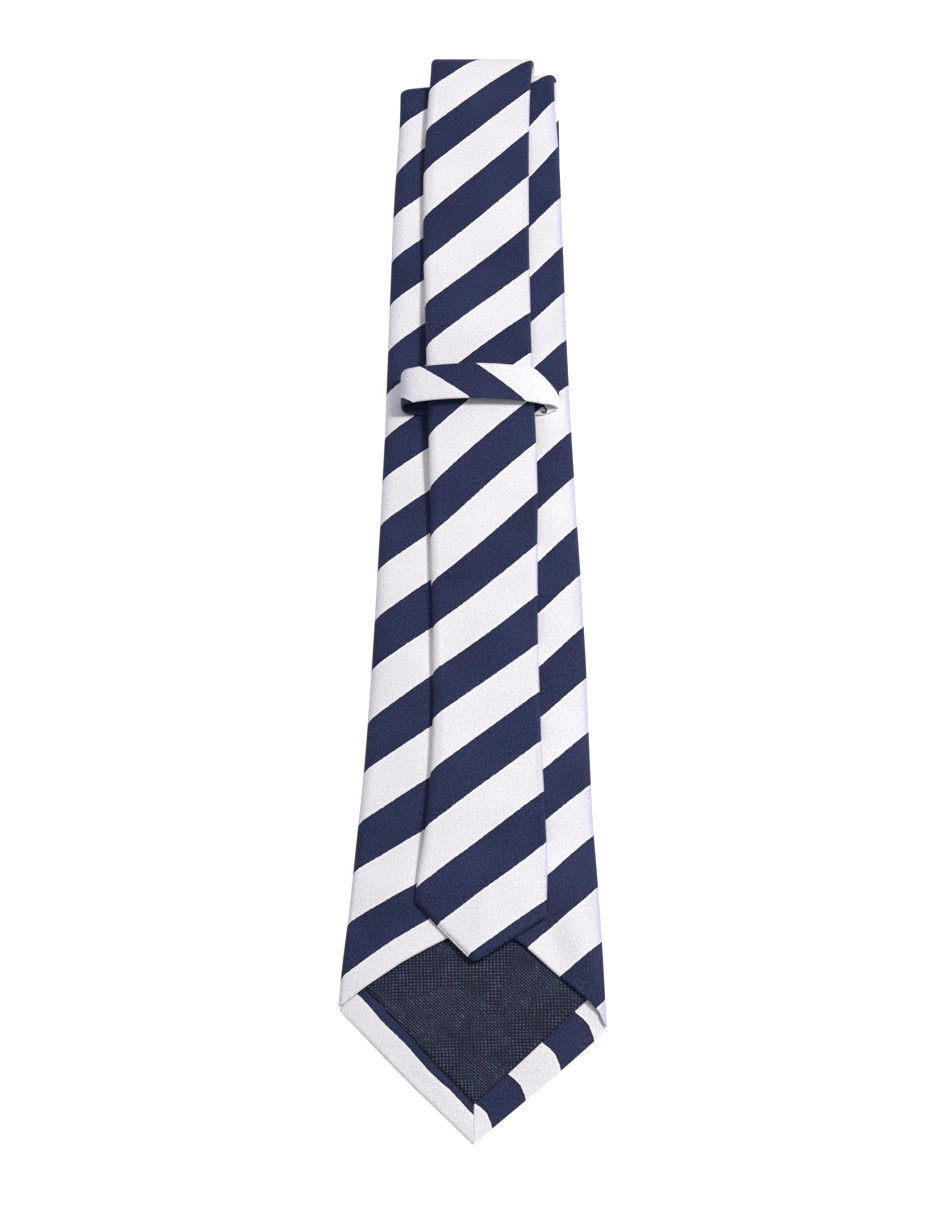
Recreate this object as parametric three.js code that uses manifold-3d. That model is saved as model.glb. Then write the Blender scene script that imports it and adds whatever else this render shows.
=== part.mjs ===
// A silk necktie that lies folded in four, face down. Millimetres, +Z up, X across the tie, Y along it.
// From the top: the tail, the wide blade, the blade's continuation, and the neck with the tail's
// continuation. The blade's tip is at -Y, and both visible folds are at +Y.
import * as THREE from "three";
import { mergeVertices } from "three/addons/utils/BufferGeometryUtils.js";
import Module from "manifold-3d";

const wasm = await Module();
wasm.setup();

// Driving dimensions.
const LAYER = 3.0; // silk, interlining and back flaps of one layer
const TIP_LAYER = 3.6; // the same at the blade's tip, where the tipping and the hems add up
const AIR = 0.3; // between pieces that lie on each other
const SEAM_SKEW = 1; // tangent of the 45 degree joining seams
const SEAM_AIR = AIR * Math.hypot(1, SEAM_SKEW); // the same air at a seam, measured along the tie
const TIP_THICKENS = { from: -60, to: -118 }; // where the blade goes from LAYER to TIP_LAYER

// Heights of the stack at its middle line.
const NECK_TOP = LAYER;
const UNDER_BOTTOM = NECK_TOP + AIR;
const UNDER_TOP = UNDER_BOTTOM + LAYER;
const BLADE_BOTTOM = UNDER_TOP + AIR;

// Outlines seen from above, a row for each section that a straight line doesn't reach.
const BLADE_ROWS = [
  { y: -209.15, left: -0.9, right: 1.8 },
  { y: -206.6, left: -2.1, right: 2.8 },
  { y: -196.0, left: -11.7, right: 14.5 },
  { y: -181.5, left: -25.5, right: 30.5 },
  { y: -171.5, left: -35.0, right: 41.2 },
  { y: -169.5, left: -36.9, right: 42.4 },
  { y: -163.6, left: -42.5, right: 42.5 },
  { y: -156.7, left: -42.0, right: 42.4 },
  { y: -147.5, left: -41.2, right: 42.2 },
  { y: -138.0, left: -40.1, right: 41.8 },
  { y: -128.3, left: -39.2, right: 41.4 },
  { y: -114.8, left: -38.2, right: 40.6 },
  { y: -100.3, left: -37.0, right: 39.7 },
  { y: -85.6, left: -35.7, right: 39.2 },
  { y: -70.7, left: -34.7, right: 38.8 },
  { y: -40.5, left: -33.1, right: 38.2 },
  { y: -9.7, left: -31.8, right: 37.0 },
  { y: 21.7, left: -30.6, right: 35.5 },
  { y: 53.9, left: -29.5, right: 34.2 },
  { y: 86.7, left: -28.8, right: 33.1 },
  { y: 128.7, left: -27.8, right: 32.2 },
  { y: 150.0, left: -27.2, right: 31.7 },
  { y: 172.0, left: -26.1, right: 31.2 },
  { y: 187.0, left: -25.4, right: 31.3 },
];
const TAIL_ROWS = [
  { y: 195.0, left: -15.0, right: 21.0 },
  { y: 175.2, left: -16.1, right: 20.5 },
  { y: 157.8, left: -16.9, right: 20.3 },
  { y: 126.0, left: -16.9, right: 20.2 },
  { y: 108.0, left: -16.3, right: 20.4 },
  { y: 96.0, left: -15.9, right: 20.5 },
  { y: 84.0, left: -15.6, right: 20.7 },
  { y: 72.0, left: -15.3, right: 21.1 },
  { y: 58.0, left: -14.9, right: 21.6 },
  { y: 45.1, left: -14.5, right: 22.1 },
  { y: 33.0, left: -14.2, right: 22.5 },
  { y: 20.0, left: -14.0, right: 22.5 },
  { y: 5.3, left: -13.8, right: 22.2 },
  { y: -33.3, left: -12.8, right: 22.1 },
  { y: -60.0, left: -12.7, right: 22.7 },
  { y: -74.0, left: -12.9, right: 23.0 },
  { y: -89.2, left: -13.9, right: 23.7 },
  { y: -103.4, left: -15.1, right: 24.2 },
  { y: -114.7, left: -16.5, right: 24.5 },
  { y: -124.9, left: -18.0, right: 24.4 },
  { y: -129.0, left: -18.1, right: 24.2 },
  { y: -134.4, left: -13.3, right: 23.7 },
  { y: -142.5, left: -6.1, right: 12.6 },
  { y: -150.2, left: 0.3, right: 2.1 },
];
const UNDER_ROWS = [
  { y: 187.0, left: -25.3, right: 31.2 },
  { y: 60.0, left: -20.4, right: 26.1 },
  { y: -35.0, left: -16.5, right: 21.9 },
];
const NECK_EDGES = { left: -16.0, right: 21.0 };
const FOLD_EDGES = { left: -14.3, right: 22.0 }; // tail at its fold

// Places along the tie.
const BLADE_FOLD_Y = 197.3;
const NECK_FOLD_Y = -145;
const TAIL_FOLD_Y = 202.4;
const BLADE_SEAM_Y = -80;
const TAIL_SEAM_Y = 100;
const BLADE_FOLD_TILT = Math.tan(THREE.MathUtils.degToRad(7.2));
const TILT_STARTS_Y = 140;
const TAIL_OVER_FOLD = 0.6; // the tail's rise over the blade at its own fold
const SEAM_RUN = 50; // the stretch in which a section turns from square to the seam's angle
const FOLD_STEPS = 8;
const EDGE_STEPS = 4;
const ACROSS = [0, 0.1, 0.22, 0.36, 0.64, 0.78, 0.9, 1]; // places across a section, as a share
const NARROW_ROLL = 0.45; // share of the width that one rolled edge takes at the very tip
const WELD = 1e-4;

// The blade sags over the narrower layers below it and comes down to the table past the neck fold.
// A sag is the share of the height that an edge loses, and early bends it sooner than a parabola.
const SINK = { from: -147, to: -190 };
const SAG = { atFold: 0.08, atNeck: 0.35, early: 1.7 };

// V opening, tipping and hems at the blade's tip, with levels measured up from the blade's front.
const OPENING_OUTLINE = [
  [3.7, -134.8],
  [-4.6, -141.3],
  [-22.0, -150.6],
  [-34.8, -158.8],
  [-41.2, -163.4],
  [-55, -166],
  [-55, -215],
  [55, -215],
  [55, -171],
  [42.1, -170.2],
  [36.6, -162.6],
  [27.6, -154.3],
  [17.1, -144.1],
];
const TIPPING_OUTLINE = [
  [3.7, -128.1],
  [-10.3, -135.9],
  [-28.8, -146.9],
  [-37.1, -153.8],
  [0.9, -195.3],
  [38.6, -160.1],
  [30.6, -148.4],
  [16.7, -137.5],
];
const POCKET_LEVEL = 1.0;
const TIPPING_LEVEL = 1.3;
const TIPPING_THICKNESS = 1.0;
const HEM_LEVEL = 2.1;
const FLAP_LEVEL = 2.6;
const PATCH = { left: -54, right: 54, back: -212, front: -124, step: 6 };

// Keeper loop: the middle line of its wall in a section across the tie.
const LOOP_WALL = 1.3;
const LOOP_BACK_Y = 57.7;
const LOOP_WIDTH = 14;
const LOOP_BOTTOM = BLADE_BOTTOM + LAYER + AIR + LOOP_WALL / 2;
const LOOP_STEPS = 60;
const LOOP_ROWS = [
  { x: 26.0, z: 0 },
  { x: 14, z: 0 },
  { x: -8, z: 0 },
  { x: -20.5, z: 0 },
  { x: -23.8, z: 1.1 },
  { x: -24.7, z: 3.2 },
  { x: -22.9, z: 5.6 },
  { x: -15.2, z: 7.0 },
  { x: -8.0, z: 7.8 },
  { x: 0, z: 8.5 },
  { x: 9.8, z: 8.4 },
  { x: 19.7, z: 6.8 },
  { x: 24.8, z: 5.0 },
  { x: 28.8, z: 2.6 },
  { x: 29.0, z: 0.6 },
];
const LIFT = { y: LOOP_BACK_Y + LOOP_WIDTH / 2, reach: 62, height: 2.2 }; // tail's rise at the loop

// Colours of the photographed silk and lining.
const SILK = { color: 0xecebf0, roughness: 0.42, metalness: 0 };
const NAVY_SILK = { color: 0x2b3158, roughness: 0.42, metalness: 0 };
const LINING = { color: 0x2f3a58, roughness: 0.7, metalness: 0 };

const middle = (row) => (row.left + row.right) / 2;
const tiltAt = (y) => BLADE_FOLD_TILT * THREE.MathUtils.smoothstep(y, TILT_STARTS_Y, BLADE_FOLD_Y);

// A row between two rows of an outline, for the stretches where a surface needs more sections.
function rowAt(rows, y) {
  const sorted = [...rows].sort((a, b) => a.y - b.y);
  const next = sorted.findIndex((row) => row.y >= y);
  if (next <= 0) return { ...sorted.at(next), y };
  const [a, b] = [sorted[next - 1], sorted[next]];
  const share = (y - a.y) / (b.y - a.y);
  return {
    y,
    left: THREE.MathUtils.lerp(a.left, b.left, share),
    right: THREE.MathUtils.lerp(a.right, b.right, share),
  };
}

// Height of the blade's front face over the table. It is level over the layers below, sags outside
// them, and sinks past the neck fold.
function bladeFloor(x, y) {
  const carried = BLADE_BOTTOM * THREE.MathUtils.smoothstep(y, SINK.to, SINK.from);
  const blade = rowAt(BLADE_ROWS, y);
  const under = rowAt(UNDER_ROWS, y);
  const support = (under.right - under.left) / 2;
  const overhang = Math.max((blade.right - blade.left) / 2 - support, LAYER);
  const past = Math.abs(x - middle(under)) - support;
  const share = THREE.MathUtils.clamp(past / overhang, 0, 1);
  const sag = THREE.MathUtils.lerp(
    SAG.atNeck,
    SAG.atFold,
    THREE.MathUtils.smoothstep(y, NECK_FOLD_Y, BLADE_FOLD_Y),
  );
  return carried * (1 - sag * share * share * (SAG.early - (SAG.early - 1) * share));
}

const bladeThickness = (y) =>
  THREE.MathUtils.lerp(
    TIP_LAYER,
    LAYER,
    THREE.MathUtils.smoothstep(y, TIP_THICKENS.to, TIP_THICKENS.from),
  );

// Height of the tail's underside: on the blade, lifted where the loop's lower band runs below it.
function tailFloor(y) {
  const fromLoop = THREE.MathUtils.clamp((y - LIFT.y) / LIFT.reach, -1, 1);
  const lift = LIFT.height * Math.cos((fromLoop * Math.PI) / 2) ** 2;
  const rise = TAIL_OVER_FOLD * THREE.MathUtils.smoothstep(y, LIFT.y + LIFT.reach, TAIL_FOLD_Y);
  return BLADE_BOTTOM + bladeThickness(y) + AIR + lift + rise;
}

// One section's contour: across the tie, and up through the padding, with rolled edges.
function sectionContour({ left, right, thickness }) {
  const roll = Math.min(thickness / 2, (right - left) * NARROW_ROLL);
  const across = ACROSS.map((share) => THREE.MathUtils.lerp(left + roll, right - roll, share));
  const points = across.map((x) => new THREE.Vector2(x, 0));
  const arc = (x, side, first) => {
    for (let step = 1; step < EDGE_STEPS; step += 1) {
      const turn = (Math.PI * step) / EDGE_STEPS;
      const level = (thickness / 2) * (1 - Math.cos(first ? turn : Math.PI - turn));
      points.push(new THREE.Vector2(x + side * roll * Math.sin(turn), level));
    }
  };
  arc(right - roll, 1, true);
  across.reverse().forEach((x) => points.push(new THREE.Vector2(x, thickness)));
  arc(left + roll, -1, false);
  return points;
}

// A flat stretch at one row. Its padding grows up or down from the face inside the fold.
const flatStation = (row, innerFace, { side, thickness = LAYER, skew = 0 }) => ({
  ...row,
  thickness,
  place: (x, level) =>
    new THREE.Vector3(x, row.y + skew * (x - middle(row)), innerFace(x, row.y) + side * level),
});

// A half turn from the upper to the lower stretch round a line across the tie at y.
function foldStations(row, { y, upper, lower, towards, skew = 0 }) {
  const steps = Array.from({ length: FOLD_STEPS + 1 }, (_, step) => step / FOLD_STEPS);
  const centre = (upper + lower) / 2;
  const inner = (upper - lower) / 2;
  return steps.map((share) => {
    const turn = Math.PI / 2 - Math.PI * share;
    return {
      ...row,
      thickness: LAYER,
      place: (x, level) =>
        new THREE.Vector3(
          x,
          y + skew * (x - middle(row)) + towards * (inner + level) * Math.cos(turn),
          centre + (inner + level) * Math.sin(turn),
        ),
    };
  });
}

// Turns the triangles round if the surface encloses a negative volume.
function facingOut(positions, triangles) {
  const corner = (i) => new THREE.Vector3().fromArray(positions, 3 * i);
  const volume = triangles.reduce(
    (sum, [a, b, c]) => sum + corner(a).dot(corner(b).cross(corner(c))) / 6,
    0,
  );
  const turned = volume < 0 ? triangles.map(([a, b, c]) => [a, c, b]) : triangles;
  const geometry = new THREE.BufferGeometry();
  geometry.setAttribute("position", new THREE.Float32BufferAttribute(positions, 3));
  geometry.setIndex(turned.flat());
  return geometry;
}

// Joins the sections of a strip of cloth and closes both ends.
function loftCloth(stations) {
  const contours = stations.map(sectionContour);
  const count = contours[0].length;
  const positions = stations.flatMap((station, i) =>
    contours[i].flatMap((point) => station.place(point.x, point.y).toArray()),
  );
  const triangles = [];
  for (let i = 0; i + 1 < stations.length; i += 1)
    for (let j = 0; j < count; j += 1) {
      const [a, b] = [i * count + j, i * count + ((j + 1) % count)];
      triangles.push([a, b, b + count], [a, b + count, a + count]);
    }
  const last = (stations.length - 1) * count;
  for (const [a, b, c] of THREE.ShapeUtils.triangulateShape(contours[0], []))
    triangles.push([c, b, a]);
  for (const [a, b, c] of THREE.ShapeUtils.triangulateShape(contours.at(-1), []))
    triangles.push([last + a, last + b, last + c]);
  return facingOut(positions, triangles);
}

function solidOf(geometry) {
  const bare = new THREE.BufferGeometry();
  bare.setAttribute("position", geometry.getAttribute("position"));
  if (geometry.index) bare.setIndex(geometry.index);
  const merged = mergeVertices(bare, WELD);
  return new wasm.Manifold(
    new wasm.Mesh({
      numProp: 3,
      vertProperties: merged.getAttribute("position").array,
      triVerts: new Uint32Array(merged.index.array),
    }),
  );
}

function geometryOf(solid) {
  const { vertProperties, triVerts } = solid.getMesh();
  const geometry = new THREE.BufferGeometry();
  geometry.setAttribute("position", new THREE.BufferAttribute(vertProperties, 3));
  geometry.setIndex(new THREE.BufferAttribute(triVerts, 1));
  return geometry;
}

// A slab that follows the blade's front face between two levels, over the whole tip.
function tipSlab(low, high) {
  const columns = Math.round((PATCH.right - PATCH.left) / PATCH.step) + 1;
  const rows = Math.round((PATCH.front - PATCH.back) / PATCH.step) + 1;
  const xs = Array.from({ length: columns }, (_, i) =>
    THREE.MathUtils.lerp(PATCH.left, PATCH.right, i / (columns - 1)),
  );
  const stations = Array.from({ length: rows }, (_, j) => {
    const y = THREE.MathUtils.lerp(PATCH.back, PATCH.front, j / (rows - 1));
    const floor = (x) => bladeFloor(x, y);
    return [
      ...xs.map((x) => new THREE.Vector3(x, y, floor(x) + low)),
      ...[...xs].reverse().map((x) => new THREE.Vector3(x, y, floor(x) + high)),
    ];
  });
  const count = 2 * columns;
  const triangles = [];
  for (let j = 0; j + 1 < rows; j += 1)
    for (let i = 0; i < count; i += 1) {
      const [a, b] = [j * count + i, j * count + ((i + 1) % count)];
      triangles.push([a, b, b + count], [a, b + count, a + count]);
    }
  for (let i = 0; i + 1 < columns; i += 1) {
    const opposite = count - 1 - i;
    const end = (rows - 1) * count;
    triangles.push([i, opposite, i + 1], [i + 1, opposite, opposite - 1]);
    triangles.push([end + i, end + i + 1, end + opposite]);
    triangles.push([end + i + 1, end + opposite - 1, end + opposite]);
  }
  return solidOf(facingOut(stations.flat().flatMap((p) => p.toArray()), triangles));
}

// An upright prism over an outline, optionally grown outwards.
function prism(outline, grown = 0) {
  const corners = outline.map(([x, y]) => new THREE.Vector2(x, y));
  const turn = THREE.ShapeUtils.isClockWise(corners) ? 1 : -1;
  const moved = corners.map((corner, i) => {
    const before = corners.at(i - 1);
    const after = corners[(i + 1) % corners.length];
    const normal = (from, to) =>
      new THREE.Vector2(to.y - from.y, from.x - to.x).normalize().multiplyScalar(-turn);
    const [n, m] = [normal(before, corner), normal(corner, after)];
    const bisector = n.clone().add(m).normalize();
    return corner.clone().addScaledVector(bisector, grown / bisector.dot(n));
  });
  const depth = 4 * BLADE_BOTTOM;
  const geometry = new THREE.ExtrudeGeometry(new THREE.Shape(moved), {
    depth,
    bevelEnabled: false,
  });
  geometry.translate(0, 0, -depth / 4);
  return solidOf(geometry);
}

const onTip = (outline, low, high, grown) => tipSlab(low, high).intersect(prism(outline, grown));

function bladePanel() {
  const face = rowAt(BLADE_ROWS, BLADE_FOLD_Y);
  const stations = [
    ...BLADE_ROWS.map((row) =>
      flatStation(row, bladeFloor, {
        side: 1,
        thickness: bladeThickness(row.y),
        skew: tiltAt(row.y),
      }),
    ),
    ...foldStations(face, {
      y: BLADE_FOLD_Y,
      upper: BLADE_BOTTOM,
      lower: UNDER_TOP,
      towards: 1,
      skew: BLADE_FOLD_TILT,
    }),
    ...UNDER_ROWS.map((row) => flatStation(row, () => UNDER_TOP, { side: -1, skew: tiltAt(row.y) })),
    flatStation({ ...NECK_EDGES, y: BLADE_SEAM_Y }, () => UNDER_TOP, { side: -1, skew: SEAM_SKEW }),
  ];
  return solidOf(loftCloth(stations))
    .subtract(onTip(OPENING_OUTLINE, HEM_LEVEL, 2 * TIP_LAYER))
    .subtract(onTip(TIPPING_OUTLINE, POCKET_LEVEL, FLAP_LEVEL, AIR));
}

function neckPanel() {
  const row = (y) => ({ ...NECK_EDGES, y });
  const under = (y, skew) => flatStation(row(y), () => UNDER_BOTTOM, { side: 1, skew });
  const neck = (y, skew) => flatStation(row(y), () => NECK_TOP, { side: -1, skew });
  return solidOf(
    loftCloth([
      under(BLADE_SEAM_Y - SEAM_AIR, SEAM_SKEW),
      under(BLADE_SEAM_Y - SEAM_RUN, 0),
      ...foldStations(row(NECK_FOLD_Y), {
        y: NECK_FOLD_Y,
        upper: UNDER_BOTTOM,
        lower: NECK_TOP,
        towards: -1,
      }),
      neck(TAIL_SEAM_Y - SEAM_RUN, 0),
      neck(TAIL_SEAM_Y, SEAM_SKEW),
    ]),
  );
}

function tailPanel() {
  const neck = (y, skew) =>
    flatStation({ ...NECK_EDGES, y }, () => NECK_TOP, { side: -1, skew });
  const fold = foldStations(FOLD_EDGES, {
    y: TAIL_FOLD_Y,
    upper: tailFloor(TAIL_FOLD_Y),
    lower: NECK_TOP,
    towards: 1,
  });
  return solidOf(
    loftCloth([
      neck(TAIL_SEAM_Y + SEAM_AIR, SEAM_SKEW),
      neck(TAIL_SEAM_Y + SEAM_RUN, 0),
      ...fold.reverse(),
      ...TAIL_ROWS.map((row) => flatStation(row, (x, y) => tailFloor(y), { side: 1 })),
    ]),
  );
}

const bladeTipping = () =>
  onTip(TIPPING_OUTLINE, TIPPING_LEVEL, TIPPING_LEVEL + TIPPING_THICKNESS);

// A ring: its section across the tie is the middle line moved out and in by half a wall.
function keeperLoop() {
  const line = new THREE.CatmullRomCurve3(
    LOOP_ROWS.map(({ x, z }) => new THREE.Vector3(x, LOOP_BOTTOM + z, 0)),
    true,
    "centripetal",
  );
  // The rows run clockwise, so the left side of the line is outside.
  const wall = (offset) =>
    Array.from({ length: LOOP_STEPS }, (_, i) => {
      const point = line.getPointAt(i / LOOP_STEPS);
      const along = line.getTangentAt(i / LOOP_STEPS);
      return new THREE.Vector2(
        point.x - offset * along.y,
        Math.max(point.y + offset * along.x, LOOP_BOTTOM - offset),
      );
    });
  const shape = new THREE.Shape(wall(LOOP_WALL / 2));
  shape.holes.push(new THREE.Path(wall(-LOOP_WALL / 2).reverse()));
  const geometry = new THREE.ExtrudeGeometry(shape, { depth: LOOP_WIDTH, bevelEnabled: false });
  geometry.rotateX(Math.PI / 2);
  geometry.translate(0, LOOP_BACK_Y + LOOP_WIDTH, 0);
  return solidOf(geometry);
}

function pieceMesh(name, solid, look) {
  const mesh = new THREE.Mesh(geometryOf(solid), new THREE.MeshStandardMaterial(look));
  mesh.name = name;
  return mesh;
}

const necktie = new THREE.Group();
necktie.add(
  pieceMesh("blade_panel", bladePanel(), SILK),
  pieceMesh("neck_panel", neckPanel(), NAVY_SILK),
  pieceMesh("tail_panel", tailPanel(), SILK),
  pieceMesh("blade_tipping", bladeTipping(), LINING),
  pieceMesh("keeper_loop", keeperLoop(), NAVY_SILK),
);

export default necktie;
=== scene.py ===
import math

import bmesh
import bpy
import numpy as np
from bpy.props import FloatProperty, FloatVectorProperty, PointerProperty
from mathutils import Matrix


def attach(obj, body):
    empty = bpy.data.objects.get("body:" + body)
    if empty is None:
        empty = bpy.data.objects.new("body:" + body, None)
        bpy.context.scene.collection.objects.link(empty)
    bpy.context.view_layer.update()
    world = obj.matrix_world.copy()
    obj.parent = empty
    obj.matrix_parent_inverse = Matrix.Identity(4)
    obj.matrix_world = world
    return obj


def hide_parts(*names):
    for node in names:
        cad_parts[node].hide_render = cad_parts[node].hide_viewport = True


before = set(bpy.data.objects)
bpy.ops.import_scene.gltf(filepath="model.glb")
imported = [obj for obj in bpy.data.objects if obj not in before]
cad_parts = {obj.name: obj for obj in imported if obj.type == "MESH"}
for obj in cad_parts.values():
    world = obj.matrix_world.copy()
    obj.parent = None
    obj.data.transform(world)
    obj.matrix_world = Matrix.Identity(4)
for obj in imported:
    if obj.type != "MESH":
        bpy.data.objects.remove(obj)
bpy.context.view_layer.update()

bl_info = {
    "name": "Folded silk necktie",
    "version": (1, 0, 0),
    "blender": (4, 5, 0),
    "location": "3D View > Sidebar > Necktie",
    "description": "Dresses the packed necktie in striped silk, with its lining, loop and stitches",
    "category": "Object",
}

MM = 0.001  # the shapes are worked out in millimetres
UPWARDS = np.array([0.0, 0.0, 1.0])

# Outline of the blade's long sides, seen from above: a row for each bend, in mm.
BLADE_SIDES = np.array([
    # y, left, right
    (-215.0, -46.4, 45.2),
    (-169.4, -43.0, 43.3),
    (-163.6, -42.5, 42.8),
    (-147.5, -41.2, 42.2),
    (-128.3, -39.2, 41.4),
    (-100.3, -37.0, 39.7),
    (-85.6, -35.7, 39.2),
    (-70.7, -34.7, 38.8),
    (-40.5, -33.1, 38.2),
    (-9.7, -31.8, 37.0),
    (21.7, -30.6, 35.5),
    (53.9, -29.5, 34.2),
    (86.7, -28.8, 33.1),
    (128.7, -27.8, 32.2),
    (150.0, -27.2, 31.7),
    (163.0, -26.6, 31.4),
    (172.0, -26.1, 30.6),
    (178.0, -25.8, 30.5),
    (187.0, -25.4, 29.8),
    (300.0, -25.4, 29.6),
])
TAIL_SIDES = np.array([
    (-160.0, -18.6, 24.2),
    (-134.4, -18.3, 24.0),
    (-124.9, -18.0, 24.4),
    (-114.7, -16.5, 24.5),
    (-103.4, -15.1, 24.2),
    (-89.2, -13.9, 23.7),
    (-74.0, -12.9, 23.0),
    (-60.0, -12.7, 22.7),
    (-33.3, -12.8, 22.1),
    (5.3, -13.8, 22.2),
    (20.0, -14.0, 22.5),
    (45.1, -14.5, 22.1),
    (58.0, -14.9, 21.6),
    (84.0, -15.6, 20.7),
    (108.0, -16.3, 20.4),
    (126.0, -16.9, 20.2),
    (157.8, -16.9, 20.3),
    (175.2, -16.1, 20.5),
    (195.0, -15.0, 21.0),
    (201.85, -14.3, 22.0),
    (260.0, -14.3, 22.0),
])
UNDER_SIDES = np.array([
    (-400.0, -16.0, 21.0),
    (-80.0, -16.0, 21.0),
    (-35.0, -16.5, 21.9),
    (60.0, -20.4, 26.1),
    (120.0, -22.4, 30.2),
    (150.0, -23.6, 31.5),
    (187.0, -25.3, 31.3),
    (260.0, -25.3, 31.3),
])
BLADE_TIP = np.array([(-42.5, -163.6), (0.4, -208.8), (43.2, -170.2)])
TAIL_TIP = np.array([(-18.2, -129.0), (1.2, -151.0), (24.0, -134.4)])
# Inner edges of the two back flaps, from the middle seam to the corner.
LEFT_FLAP = np.array([(9.0, -133.0), (3.7, -134.9), (-4.6, -139.6), (-13.2, -144.3), (-22.0, -149.5),
                      (-28.0, -153.6), (-34.8, -158.0), (-42.5, -163.6)])
RIGHT_FLAP = np.array([(-1.5, -132.0), (3.7, -134.0), (17.1, -143.8), (27.6, -154.0),
                       (35.9, -160.8), (38.4, -162.9), (40.8, -165.8), (42.1, -168.8),
                       (43.2, -171.0)])
TIPPING_CORNERS = np.array([(3.7, -128.1), (-38.4, -152.6), (0.9, -195.3), (39.6, -158.6)])

# Layers of the stack, in mm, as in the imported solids.
LAYER, TIP_LAYER, CORNER_LAYER, AIR = 3.0, 3.3, 1.9, 0.3
CORNER_THINS_OVER = 14.0
UNDER_TAIL_TIP = 3.6  # the blade's thickness under the tail's tip
NECK_TOP = LAYER
UNDER_BOTTOM = NECK_TOP + AIR
UNDER_TOP = UNDER_BOTTOM + LAYER
BLADE_BOTTOM = UNDER_TOP + AIR
HEM_EDGE, HEM_LEVEL, TIPPING_LEVEL = 1.0, 1.3, 2.1  # above the blade's front
TAIL_TIP_LAYER, TAIL_THINS_OVER = 1.5, 20.0
SINK_FROM, SINK_TO = -147.0, -190.0
SAG_AT_FOLD, SAG_AT_NECK, SAG_EARLY = 0.06, 0.26, 1.7
THICKENS_FROM, THICKENS_TO = -60.0, -118.0
LINING_WALL = 0.4

# Places along the tie, in mm.
BLADE_FOLD_Y, NECK_FOLD_Y, TAIL_FOLD_Y = 197.3, -145.0, 202.8
BLADE_SEAM_Y, TAIL_SEAM_Y, SEAM_RUN = -80.0, 100.0, 50.0
BLADE_FOLD_TILT, TILT_STARTS_Y = math.tan(math.radians(7.2)), 140.0
TAIL_OVER_FOLD = 0.6
LIFT_Y, LIFT_REACH, LIFT_HEIGHT, LIFT_ARCH, LIFT_HALF_WIDTH = 64.7, 62.0, 3.6, 0.35, 18.0
SEAM_X, FLAPS_PASS_SEAM = 3.7, (5.0, -4.0)
NECK_SIDES, TAIL_FOLD_SIDES, TAIL_SEAM_AIR = (-16.0, 21.0), (-14.3, 23.2), 0.42
# Rolled edges: how far in from the edge the seen and the hidden side start to curve down.
BLADE_ROLLS, BLADE_TIP_ROLLS, TAIL_ROLLS, HIDDEN_ROLL = (4.2, 2.6), (1.7, 2.2), (3.0, 1.2), 0.9
ROLLS_NARROW_FROM, ROLLS_NARROW_TO = -60.0, -135.0
WIDEST_LEVEL = 0.36  # where a section is widest, as a share of its thickness from the hidden side
CORNER_ROUND, CORNER_REACH, CORNER_FADES_OVER, HEM_STOPS = (1.3, 2.6), (2.2, 3.6), 9.0, 0.7
TAIL_TIP_ROUND, TAIL_TIP_ROLL, TAIL_TIP_MEETS, TAIL_TIP_MEETS_OVER = 1.5, 1.8, 0.93, 3.0
FRONT_STOPS = 0.6  # how far inside the hems' edge the blade's front ends
# Rows along a panel: close together at its edge, in mm from it.
EDGE_OFFSETS = np.array([0.0, 0.12, 0.28, 0.5, 0.8, 1.15, 1.6, 2.2, 3.0, 4.2, 6.0])
# Further rows of each panel: before its fold, round it and after it.
BLADE_ROWS, TAIL_ROWS, NECK_ROWS = (170, 17, 60), (210, 27, 40), (16, 17, 60)
# Columns of the tail and the neck: on each half of the back, round each edge, and on the front.
TAIL_COLUMNS, NECK_COLUMNS = (8, 18, 36), (6, 8, 20)
HEM_ROWS, HEM_ROLL_COLUMNS, HEM_FLAT_COLUMNS, LINING_ROWS = 90, 10, 26, 110
LOOP_RINGS, LOOP_RING_POINTS, TACK_RINGS, TACK_RING_POINTS = 180, 56, 90, 8
CURVE_STEPS, AVERAGED, TIP_STEPS = 24, 9, 8

# The flaps' inner edges are folded under, and the right flap lies over the left one.
EDGE_SLANT = 0.82  # of a step along the tie, the share that leads away from the edge
FLAP_LIP_DROP, FLAP_LIP_WIDTH, FLAP_LIP_STARTS_IN = 0.5, 0.3, 8.0
LAP_DROP, LAP_WIDTH = 0.5, 6.0
DENT_PLACE, DENT_SIZE, DENT_SLANT, DENT_DEPTH = (27.0, -143.0), (4.5, 10.0), 20.0, 1.6

# Soft unevenness of each cloth: its height, its length, and how far in from the edge it starts.
BLADE_RIPPLE = (0.16, 46.0, 12.0)
TAIL_RIPPLE = (0.3, 58.0, 10.0)
HEM_RIPPLE = (0.22, 15.0, 3.0)
LINING_RIPPLE = (0.14, 30.0, 6.0)

# The hems: how wide they are, where the roll goes over into the flat part, and how they rise.
HEM_WIDTH, HEM_ROLL_TO, HEM_FLAT_FROM, HEM_ROLL = 11.4, 1.5, 1.6, 0.9
HEM_RISES, HEM_SETTLES_OVER, HEM_EDGE_SHARE = (-9.0, 14.0), 6.0, 0.03
HEM_LIP_DROP, HEM_LIP_FROM, HEM_UNDER_LINING = 0.4, 0.93, 1.5
# The left hem's border between white and navy: its distance in at both ends, and its waviness.
LEFT_HEM_BORDER, LEFT_HEM_WAVE = (7.5, 7.0), (0.2, 17.0)
# The right hem's stripes: where they start, their period along it, their slant and their bow.
RIGHT_HEM_START, RIGHT_HEM_PERIOD, RIGHT_HEM_SLANT, RIGHT_HEM_BOW = 8.1, 29.4, 0.15, (1.2, 10.0)

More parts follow.
